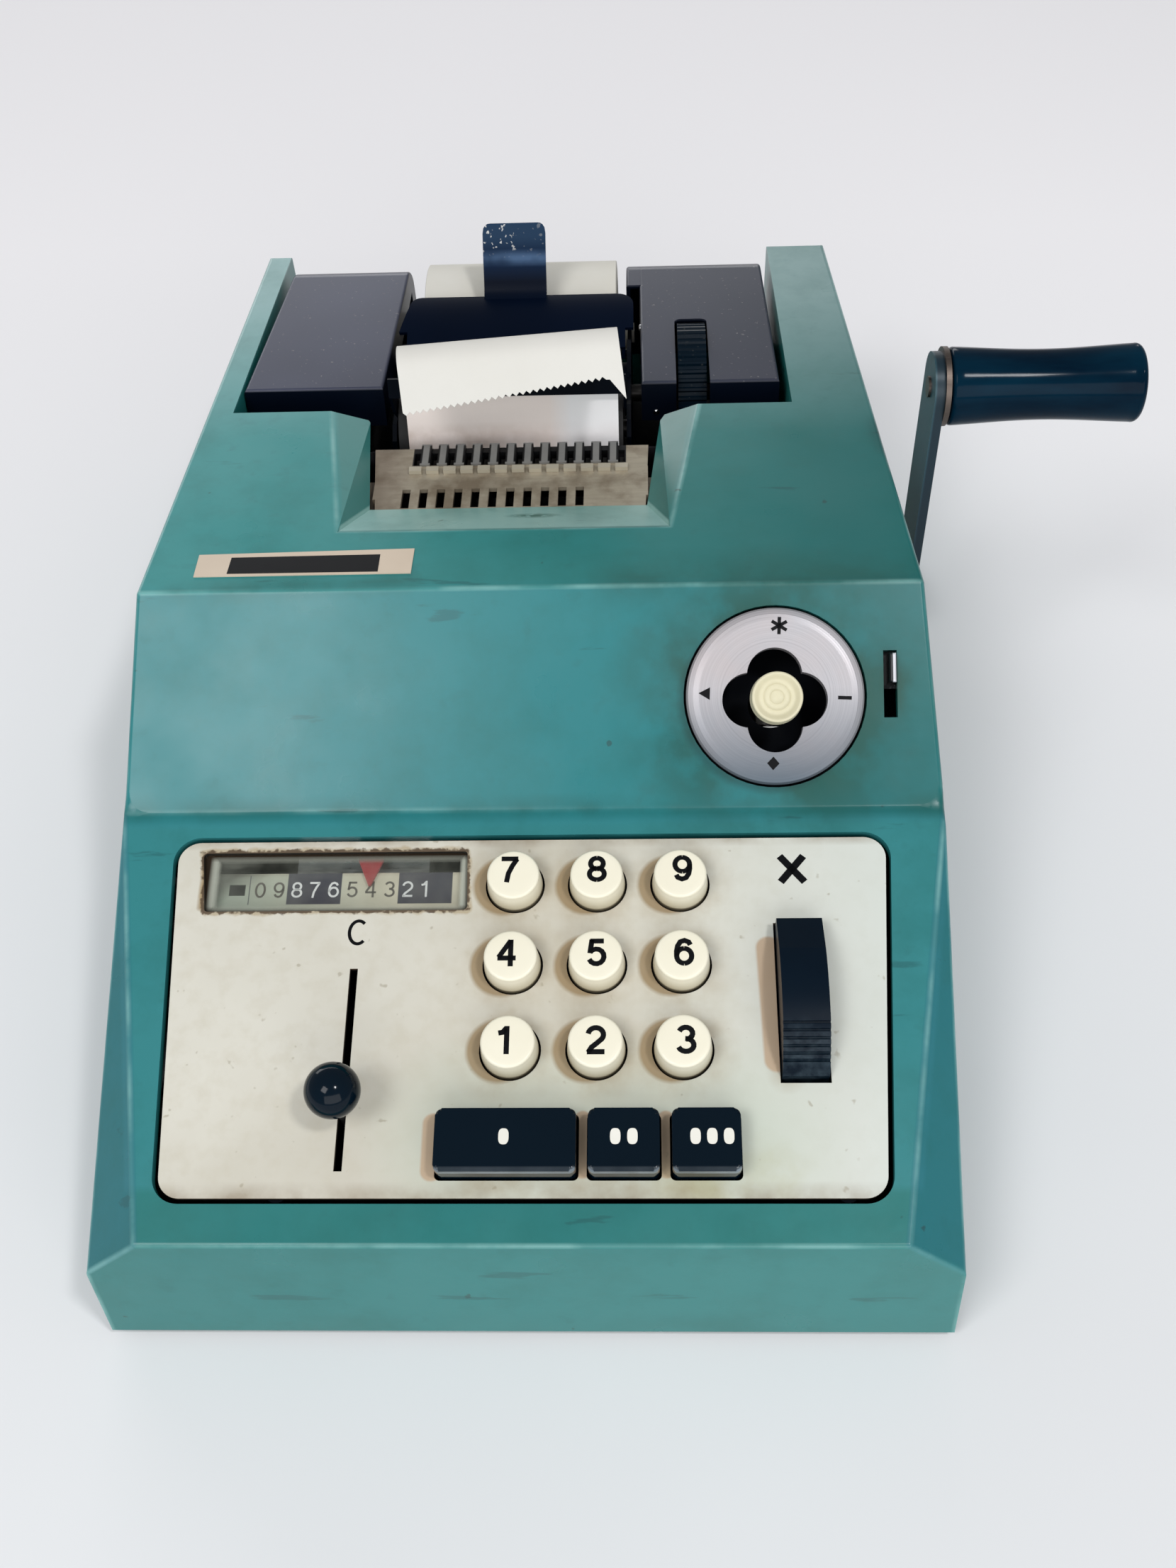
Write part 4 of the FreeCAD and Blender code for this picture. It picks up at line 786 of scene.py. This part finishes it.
TEAL = casing_paint()
CREAM = panel_paint()
COVER_BLACK = cover_paint()
BASE_BLACK = plain("base_black", (22, 24, 28), (34, 36, 40), (0.45, 0.6), 25, 0.06, 300)
WELL_BLACK = plain("well_navy", (1, 5, 13), (4, 9, 19), (0.45, 0.55), 30, 0.06, 300, specular=0.05)
FLAP_BLACK = flap_paint()
GLOSS_BLACK = plain("gloss_black", (2, 16, 27), (4, 20, 32), (0.07, 0.13), 30, 0.02, 200, specular=0.16)
GRIP_BLUE = grip_plastic()
BAR_BLACK = bar_plastic()
TAB_METAL = tab_metal()
ROCKER_BLACK = rocker_plastic()
RIB_BLACK = plain("rubbed_black", (2, 15, 25), (6, 22, 34), (0.26, 0.4), 60, 0.08, 300, 0.08, specular=0.1)
IVORY = key_plastic()
KNOB_CREAM = plain("knob_cream", (204, 197, 164), (222, 216, 188), (0.35, 0.5), 80, 0.05, 300)
PRINT_BLACK = plain("print_black", (5, 6, 9), (10, 11, 15), (0.4, 0.5), 100, 0.02, specular=0.12)
PRINT_WHITE = plain("print_white", (228, 226, 214), (240, 238, 230), (0.4, 0.5), 100, 0.02)
DULL_INK = plain("dull_ink", (70, 66, 60), (92, 88, 78), (0.5, 0.6), 100, 0.02)
PLATE_CREAM = plain("plate_cream", (196, 178, 158), (214, 198, 178), (0.4, 0.5), 60, 0.03)
DIM_WHITE = plain("dim_white", (206, 210, 208), (222, 224, 220), (0.5, 0.6), 100, 0.02)
RED = plain("red_pointer", (156, 52, 58), (176, 70, 72), (0.3, 0.4), 80, 0.02, alpha=0.6)
STEEL = brushed("brushed_steel", (150, 150, 150), (190, 190, 188), (1, 9, 9))
DARK_STEEL = brushed("dark_steel", (52, 50, 50), (82, 80, 78), (1, 8, 8), (0.35, 0.55), 0.8)
CHROME = brushed("chrome", (206, 206, 208), (226, 226, 228), (1, 6, 6), (0.06, 0.14))
BRONZE = brushed("dull_bronze", (84, 76, 72), (120, 108, 100), (1, 7, 7), (0.35, 0.5))
ALUMINIUM = dial_metal()
COMB = grimy_plate()
RUBBER = plain("rubber", (26, 26, 27), (38, 38, 38), (0.75, 0.9), 60, 0.15, 600)
PAPER = paper("tape_paper")
ROLL_PAPER = paper("roll_paper", 0.8)
RIBBON = plain("inked_fabric", (22, 20, 26), (36, 33, 40), (0.85, 0.95), 300, 0.4, 2500)
LEAF = scale_leaf()
PANE = clear_pane()
CUP_BLACK = plain("well_black", (2, 4, 9), (5, 8, 14), (0.6, 0.8), 60, 0.05, specular=0.06)
ARM_TEAL = arm_paint()

# Nodes that aren't listed are steel
NODE_FINISH = {
    "casing": TEAL, "crank_arm": ARM_TEAL, "keyboard_panel": CREAM, "left_cover": COVER_BLACK,
    "right_cover": COVER_BLACK, "paper_flap": FLAP_BLACK, "dial_cup": CUP_BLACK, "base_plate": BASE_BLACK,
    "repeat_rocker": ROCKER_BLACK, "thumbwheel": RIB_BLACK, "column_pointer": RED, "column_scale": LEAF,
    "column_window": PANE, "type_guide_comb": COMB, "type_bars": DARK_STEEL, "tear_bar": WELL_BLACK,
    "paper_cradle": WELL_BLACK, "key_guide_plate": WELL_BLACK, "ribbon_spool_left": DARK_STEEL,
    "ribbon_spool_right": DARK_STEEL, "selector_tab": TAB_METAL, "dial_ring": ALUMINIUM,
    "crank_bushing": BRONZE, "crank_pin": BRONZE, "register_wheels": BRONZE, "rubber_feet": RUBBER,
    "platen_roller": RUBBER, "paper_roll": ROLL_PAPER, "paper_web": PAPER, "paper_spindle": ROLL_PAPER,
    "ink_ribbon": RIBBON, "function_stick": DARK_STEEL, "feed_shaft": DARK_STEEL, "platen_shaft": DARK_STEEL,
}


def paint_nodes():
    for name, node in nodes.items():
        node.data.materials.clear()
        node.data.materials.append(NODE_FINISH.get(name, STEEL))


# Keys, with heights over the deck's plane

SKIRT = -3
STEM_FOOT = -24
STEM_RADIUS = 2
KEY_RADIUS = 6.4
KEY_TOP = 6.36
KEY_PROFILE = [(0, STEM_FOOT), (1.6, STEM_FOOT), (STEM_RADIUS, STEM_FOOT + 0.5), (STEM_RADIUS, SKIRT),
               (6.2, SKIRT), (KEY_RADIUS, SKIRT + 0.2), (KEY_RADIUS, 0.4), (6.0, 5.4),
               *arc((5.35, 5.7), 0.62, -8, 85, 6), (4.4, KEY_TOP), (0, KEY_TOP + 0.02)]
BAR_NEAR = 14.2
BAR_FAR = 27.7
BAR_TOP = 6
BAR_CORNER = 1.4
BAR_CHAMFER = 4.6
BAR_STEM_TOP = -2.5
PRINT_SIZE = (4.3, 6.3)


def digit_key(number, x, s):
    """Round key with its stem and its figure."""
    name = f"key_{number}"
    body = name + "_body"
    lathe(f"keycap_{number}", KEY_PROFILE, at(DECK, x, s), IVORY, body, replaces=(name,),
          slot="ivory_plastic", smooth=50)
    place = (x + KEY_COLUMNS[x], s + KEY_ROWS[s])
    figure(f"keymark_{number}", str(number), place, PRINT_SIZE, 1.15, at(DECK, 0, 0, KEY_TOP), PRINT_BLACK,
           "ivory_plastic", body)


def digit_keys():
    places = [(x, s) for s in KEY_ROWS for x in KEY_COLUMNS]
    for number, place in enumerate(places, 1):
        digit_key(number, *place)


def bar_key(name, left, right, marks):
    """Black bar key with round corners, a softened rim and white ovals."""
    body = name + "_body"
    middle = ((left + right) / 2, (BAR_NEAR + BAR_FAR) / 2)
    outline = []
    x_low, x_high = left + BAR_CORNER, right - BAR_CORNER
    s_low, s_high = BAR_NEAR + BAR_CORNER, BAR_FAR - BAR_CORNER
    for turn, centre in enumerate(((x_high, s_high), (x_low, s_high), (x_low, s_low), (x_high, s_low))):
        outline += arc(centre, BAR_CORNER, 90 * turn, 90 * turn + 90, 6)
    bm = bmesh.new()
    rings = [[bm.verts.new((x, s, height)) for x, s in outline] for height in (SKIRT, BAR_CHAMFER, BAR_TOP)]
    for low, high in zip(rings, rings[1:]):
        bridge(bm, low, high)
    bm.faces.new(rings[0][::-1])
    rim = list(bm.faces.new(rings[-1]).edges)
    bmesh.ops.bevel(bm, geom=rim, offset=0.9, segments=4, affect="EDGES", profile=0.6)
    bmesh.ops.create_cone(bm, cap_ends=True, segments=32, radius1=STEM_RADIUS, radius2=STEM_RADIUS,
                          depth=BAR_STEM_TOP - STEM_FOOT,
                          matrix=Matrix.Translation((*middle, (BAR_STEM_TOP + STEM_FOOT) / 2)))
    bmesh.ops.recalc_face_normals(bm, faces=bm.faces)
    bm.transform(DECK)
    new_object("bar" + name, bm, BAR_BLACK, body, "black_plastic", (name,))
    ovals = [oval(x, 21.6, 1.1, 1.7) for x in marks]
    flat_shape("mark_" + name, ovals, at(DECK, 0, 0, BAR_TOP - 0.01), PRINT_WHITE, "ivory_plastic", body)


def bar_keys():
    bar_key("key_0", -17.9, 12.0, (-3.2,))
    bar_key("key_00", 14.5, 29.6, (20.3, 23.9))
    bar_key("key_000", 32.2, 46.7, (37.1, 40.6, 44.1))


# Turned pieces

def clear_ball():
    lathe("clear_ball", arc((0, 0), 6.0, -90, 90, 32), at(DECK, -39, 29.8, 12), GLOSS_BLACK, "clear",
          replaces=("clear_lever_ball",), slot="black_plastic", smooth=60)


def stick_knob():
    """Function knob: a dished top with two rings."""
    profile = [(0, 3.4), (5.4, 3.4), *arc((5.5, 4.1), 0.65, -70, 30, 5), (5.95, 7.4),
               *arc((5.5, 7.9), 0.45, 0, 150, 6), (4.7, 7.9), (4.4, 7.4), (3.4, 7.2), (3.1, 7.45),
               (2.8, 7.2), (1.9, 7.0), (1.6, 7.25), (1.3, 7.05), (0, 7.0)]
    lathe("stick_knob", profile, at(SLOPE, *STICK), KNOB_CREAM, "stick", replaces=("function_knob",),
          slot="ivory_plastic", smooth=60)


def handle_grip():
    """Crank grip turned about X, with a long shallow waist."""
    inner, outer = 103.2, 149.2
    radius, waist = 9.45, 0.95
    start, length, steps = 103.6, 44.2, 24
    profile = [(0, inner), (3.1, inner), (8.6, inner - 0.45), (9.3, inner - 0.1)]
    for k in range(steps + 1):
        share = k / steps
        profile.append((radius - waist * math.sin(math.pi * share) ** 1.3, start + share * length))
    profile += arc((8.0, 147.9), 1.5, 0, 90, 6) + [(6.8, outer + 0.25), (6.5, outer), (0, outer)]
    lathe("handle_grip", profile, at(MODEL, 0, 191, 114) @ ACROSS, GRIP_BLUE, "grip",
          replaces=("crank_grip",), slot="black_plastic", smooth=50)


# Printed marks

def panel_marks():
    """Letter behind the clear lever's slot, and cross behind the rocker."""
    figure("panel_c", "C", (-38.7, 70.5), PRINT_SIZE, 0.76, at(DECK, 0, 0, PANEL_FACE - 0.01), PRINT_BLACK,
           "panel_paint")
    cross = [bar_shape(60.9, 85.5, 8.5, 1.7, angle) for angle in (50, 130)]
    flat_shape("panel_times", cross, at(DECK, 0, 0, PANEL_FACE), PRINT_BLACK, "panel_paint")


def dial_marks():
    """Star, bar, triangle and diamond at the dial's rear, right, left and front."""
    face = at(SLOPE, *DIAL, DIAL_FACE) @ Matrix.Rotation(DIAL_TURN, 4, "Z")
    marks = [bar_shape(0.4, 16.6, 4.1, 0.8, angle) for angle in (90, 30, 150)]
    marks.append(bar_shape(16.3, 0, 3.2, 0.85, 0))
    marks.append([(-18.1, 0), (-15.4, -1.5), (-15.4, 1.5)])
    marks.append([(0, -14.4), (-1.45, -16.0), (0, -17.6), (1.45, -16.0)])
    flat_shape("dial_marks", marks, face, PRINT_BLACK, "brushed_aluminium")


def scale_digits():
    """Digits of the column scale, pale on its two dark groups."""
    places = (-63.7, -59.3, -55.0, -50.8, -46.3, -41.9, -37.5, -33.1, -28.8, -24.8)
    for digit, x in zip("0987654321", places):
        ink = DIM_WHITE if digit in "87621" else DULL_INK
        figure("scale_" + digit, digit, (x, 83.3), (2.7, 4.1), 0.5, at(DECK, 0, 0, SCALE_FACE), ink,
               "white_plastic", thick=0.04)


def bare_plate():
    """Plain cream plate on the top plane, with a plain dark band."""
    thick = 0.25
    plate = [(-81.8, 5.5), (-28.8, 5.7), (-28.8, 15.4), (-82, 14.2)]
    band = [(-73.8, 6.4), (-36.9, 6.4), (-37, 13.2), (-73.7, 12.8)]
    flat_shape("bare_plate", [plate], TOP, PLATE_CREAM, "panel_paint", thick=thick)
    flat_shape("plate_band", [band], at(TOP, 0, 0, thick), PRINT_BLACK, "panel_paint")


# Tape and roll

TAPE_WIDTH = 58
TAPE_HALF = TAPE_WIDTH / 2
TAPE_X = -8.15
PLATEN = (227, 76)
FEED_ROLLER = (251, 70.5)
ROUND_PLATEN = 12.55
ROUND_FEED = 7.55
ROLL_CENTRE = (289, 65.5)
ROLL_RIGHT = 20
LEAVES_ROLL = (273.78, 81.66)
FOLD_LEAN = math.radians(3.75)
FOLD_AT = 24.32
TAPE_THICK = 0.00015
TEAR_LENGTH = 55.1
TEAR_SLOPE = 0.031
TOOTH = 0.45
SPIKE_X = 25
SPIKE_SLOPE = 1.55
CURL_RADIUS = 8.1
CURL_TURN = math.radians(146.5)


def upward(degrees):
    """Direction in the plane of Y and Z, in degrees from the rear."""
    angle = math.radians(degrees)
    return Vector((0, math.cos(angle), math.sin(angle)))


TAPE_UP = upward(73)
TAPE_OUT = upward(163)
TAPE_BASE = Vector((TAPE_X, *PLATEN)) + TAPE_OUT * ROUND_PLATEN


def tape_point(x, v):
    """Place on the free tape, v millimetres above the platen: flat, then curled forward."""
    flat = TAPE_BASE + Vector((x, 0, 0)) + TAPE_UP * v
    past = (v - FOLD_AT - x * math.tan(FOLD_LEAN)) * math.cos(FOLD_LEAN)
    if past <= 0:
        return flat
    along = TAPE_UP * math.cos(FOLD_LEAN) - Vector((math.sin(FOLD_LEAN), 0, 0))
    turn = min(past / CURL_RADIUS, CURL_TURN)
    curled = along * math.sin(turn) * CURL_RADIUS + TAPE_OUT * (1 - math.cos(turn)) * CURL_RADIUS
    heading = along * math.cos(turn) + TAPE_OUT * math.sin(turn)
    return flat - along * past + curled + heading * (past - CURL_RADIUS * turn)


def torn_end(x, tooth):
    """Length of the free tape at x: a slow slope with teeth, and a spike at the right edge."""
    if x > SPIKE_X:
        return 53.4 + (x - SPIKE_X) * SPIKE_SLOPE
    return TEAR_LENGTH - (x + TAPE_HALF) * TEAR_SLOPE + (TOOTH if tooth else -TOOTH)


def tape_strip():
    """Whole tape: from the roll under both rollers, up past the tear bar and over."""
    columns, flat_rows, curled_rows = 64, 4, 26
    hidden = [LEAVES_ROLL, *arc(FEED_ROLLER, ROUND_FEED, 313.3, 268.8, 6),
              *arc(PLATEN, ROUND_PLATEN, 268.8, 166, 14)]
    bm = bmesh.new()
    sheet = []
    for k in range(columns + 1):
        x = TAPE_WIDTH * k / columns - TAPE_HALF
        line = [Vector((TAPE_X + x, y, z)) for y, z in hidden]
        fold = FOLD_AT + x * math.tan(FOLD_LEAN)
        line += [tape_point(x, fold * step / flat_rows) for step in range(flat_rows)]
        free = torn_end(x, k % 2) - fold
        line += [tape_point(x, fold + free * step / curled_rows) for step in range(curled_rows + 1)]
        sheet.append([bm.verts.new(MODEL @ point) for point in line])
    for left, right in zip(sheet, sheet[1:]):
        for k in range(len(left) - 1):
            bm.faces.new((left[k], right[k], right[k + 1], left[k + 1]))
    bmesh.ops.recalc_face_normals(bm, faces=bm.faces)
    bmesh.ops.solidify(bm, geom=bm.faces, thickness=TAPE_THICK)
    new_object("tape_strip", bm, PAPER, "machine", "tape_paper", ("paper_web",), smooth=35)


def roll_of_tape():
    """Roll with fine steps between its layers on both end faces."""
    random.seed(4)
    layers, least, most = 22, 0.02, 0.22
    bore, radius, edge = 8.3, 21.5, 0.35
    radii = [bore + (radius - 0.3 - bore) * k / layers for k in range(layers + 1)]
    right = [(r, -random.uniform(least, most)) for r in radii]
    left = [(r, random.uniform(least, most) - TAPE_WIDTH) for r in reversed(radii)]
    profile = right + [(radius, -edge), (radius, edge - TAPE_WIDTH)] + left
    lathe("tape_roll", profile + profile[:1], at(MODEL, ROLL_RIGHT, *ROLL_CENTRE) @ ACROSS, ROLL_PAPER,
          "roll", replaces=("paper_roll",), slot="tape_paper", smooth=30)


# Flap

FLAP_THICK = -0.0011
FLAP_NOTCH = (-40.8, 22.6, 259)
SLANT_REACH = 14
LUG = ((253, 81), (253, 84), (256.4, 85), (256.4, 81))
HINGE = (254.5, 82)


def bent_sheet(bm, path, left, right, notch=None):
    """Sheet along a path of (y, z) whose edges are functions of the distance left to its end.

    A notch (low x, high x, y) leaves only the middle of the sheet in front of y.
    """
    columns = 12
    narrow = [notch is not None and y < notch[2] + 0.01 for y, z in path]
    lengths = [0.0]
    for a, b in zip(path, path[1:]):
        lengths.append(lengths[-1] + math.dist(a, b))
    rows = []
    for place, length, cut in zip(path, lengths, narrow):
        togo = lengths[-1] - length
        low, high = left(togo), right(togo)
        step = (high - low) / columns
        near, far = notch[:2] if cut else (low + step, high - step)
        between = [near + (far - near) * k / (columns - 2) for k in range(columns - 1)]
        rows.append([bm.verts.new(MODEL @ Vector((x, *place))) for x in (low, *between, high)])
    faces = []
    for cut, near, far in zip(narrow[1:], rows, rows[1:]):
        for k in range(1, columns - 1) if cut else range(columns):
            faces.append(bm.faces.new((near[k], near[k + 1], far[k + 1], far[k])))
    loose = [vertex for line in rows for vertex in line if not vertex.link_faces]
    bmesh.ops.delete(bm, geom=loose, context="VERTS")
    bmesh.ops.solidify(bm, geom=faces, thickness=FLAP_THICK)


def rounded(edge, radius, side, togo, slant=0.0):
    """Edge of a sheet that runs into a rounded corner at its end."""
    back = max(radius - togo, 0)
    round_off = math.sqrt(max(radius ** 2 - back ** 2, 0)) - radius
    return edge + side * round_off + slant * max(SLANT_REACH - togo, 0)


def flap_leaf(bm):
    """Leaf over the roll, narrowed beside the cradle's walls."""
    shares = [0, 0.15, 0.3, 0.45, 0.6, 0.7, 0.78, 0.84, 0.89, 0.93, 0.96, 0.98, 0.99, 1]
    front, length = 253, 20
    height, rise, droop = 84.2, 9.2, 4.8
    path = [(front + length * t, height + rise * t - droop * t * t) for t in shares]
    bent_sheet(bm, path, lambda togo: rounded(-43.2, 2.5, -1, togo, 0.24),
               lambda togo: rounded(25, 5, 1, togo), FLAP_NOTCH)


def flap_tab(bm):
    """Finger tab that curves up from the leaf."""
    path = [(270.6, 88.2), (272, 88.7), (273.4, 89.4), (274.8, 90.6), (276.2, 92.4), (277.6, 94.6),
            (279, 96.8), (280.6, 99), (282.4, 101.2), (284.2, 103.2), (285.2, 104.3), (285.7, 104.85),
            (286, 105.1), (286.1, 105.2)]
    bent_sheet(bm, path, lambda togo: rounded(-18.9, 2.3, -1, togo),
               lambda togo: rounded(-0.5, 2.3, 1, togo))


def flap_lug(bm, wall, turn):
    """Hinge lug inside a wall of the cradle, with its stub."""
    edges = sorted((wall + turn * 0.4, wall + turn * 1.4))
    left, right = ([bm.verts.new(MODEL @ Vector((x, *point))) for point in LUG] for x in edges)
    bm.faces.new(left[::-1])
    bm.faces.new(right)
    bridge(bm, left, right)
    bmesh.ops.create_cone(bm, cap_ends=True, segments=20, radius1=1, radius2=1, depth=2.6,
                          matrix=at(MODEL, wall + turn * 0.1, *HINGE) @ ACROSS)


def bent_flap():
    bm = bmesh.new()
    flap_leaf(bm)
    flap_tab(bm)
    flap_lug(bm, -41.2, 1)
    flap_lug(bm, 23.0, -1)
    bmesh.ops.recalc_face_normals(bm, faces=bm.faces)
    new_object("bent_flap", bm, FLAP_BLACK, "flap", "cover_paint", ("paper_flap",), smooth=45)


def cover_screws():
    """Two small screws of the right cover."""
    head = [(0, -1), (0.9, -1), (0.9, 0.2), (0.6, 0.45), (0, 0.55)]
    screws = (("front", (31.3, 230.2, 78.9), 90, "X"), ("side", (27, 263, 84.6), -90, "Y"))
    for name, place, turn, axis in screws:
        tilt = Matrix.Rotation(math.radians(turn), 4, axis)
        lathe("screw_" + name, head, at(MODEL, *place) @ tilt, CHROME, "machine", 24, slot="plated_steel")


# Floor, light and camera

FLOOR_HALF = 30
AIM = Vector((0, 0, 0.05))
LAMPS = (
    ("key", (0.52, -0.51, 1.4), (0.16, 0.16), 6.3),
    ("fill", (-0.62, -0.8, 1.4), (0.6, 0.6), 9.0),
    ("front", (0.35, -1.9, 0.8), (2.4, 1.2), 19.0),
    ("back", (-0.8, 2.2, 0.6), (2.6, 0.6), 18.0),
)

# The photograph's camera, fitted to the machine's own edges: pixels, degrees and millimetres
PHOTO_HEIGHT = 2212
FOCAL_PIXELS = 2222.44
SENSOR = 36
PITCH, YAW, ROLL = (math.radians(v) for v in (49.809, -3.474, -3.265))
EYE = row(28.293, -136.476, 351.351)


def floor_paint():
    """Pale matt ground, with painted light making it whiter behind the machine."""
    f = Finish("pale_cloth")
    f.cloudy(5, (224, 225, 227), (234, 235, 237), 3)
    # Painted light: whiter towards the rear.
    f.lay((250, 248, 250), f.ramp(f.vector("DOT_PRODUCT", f.place, (0, 1, 0)), -0.1, 0.3))
    f.set(roughness=0.9, specular=0.1)
    return f.material


def stage():
    bm = bmesh.new()
    bmesh.ops.create_grid(bm, x_segments=2, y_segments=2, size=FLOOR_HALF)
    floor = bpy.data.objects.new("floor", mesh_from(bm, "floor"))
    link(floor)
    floor.data.materials.append(floor_paint())


def sky():
    world = bpy.data.worlds.new("studio")
    bpy.context.scene.world = world
    world.use_nodes = True
    background = world.node_tree.nodes["Background"]
    background.inputs["Color"].default_value = (0.94, 0.97, 1.0, 1)
    background.inputs["Strength"].default_value = 0.33


def lamps():
    for name, place, size, power in LAMPS:
        lamp = bpy.data.lights.new(name, "AREA")
        lamp.shape = "RECTANGLE"
        lamp.size, lamp.size_y = size
        lamp.energy = power
        holder = bpy.data.objects.new(name, lamp)
        holder.location = place
        holder.rotation_euler = (AIM - holder.location).to_track_quat("-Z", "Y").to_euler()
        link(holder)


def camera():
    """Camera at the photograph's own place and angle."""
    data = bpy.data.cameras.new("camera")
    data.sensor_width = SENSOR
    data.lens = FOCAL_PIXELS * SENSOR / PHOTO_HEIGHT
    data.clip_start = 0.01
    data.clip_end = 100
    holder = bpy.data.objects.new("camera", data)
    heading = Matrix.Rotation(-YAW, 4, "Z") @ Matrix.Rotation(math.pi / 2 - PITCH, 4, "X")
    holder.matrix_world = Matrix.Translation(EYE) @ heading @ Matrix.Rotation(ROLL, 4, "Z")
    link(holder)
    bpy.context.scene.camera = holder


paint_nodes()
digit_keys()
bar_keys()
clear_ball()
stick_knob()
handle_grip()
panel_marks()
dial_marks()
scale_digits()
bare_plate()
tape_strip()
roll_of_tape()
bent_flap()
cover_screws()
stage()
sky()
lamps()
camera()
bpy.context.scene.view_settings.view_transform = "Standard"
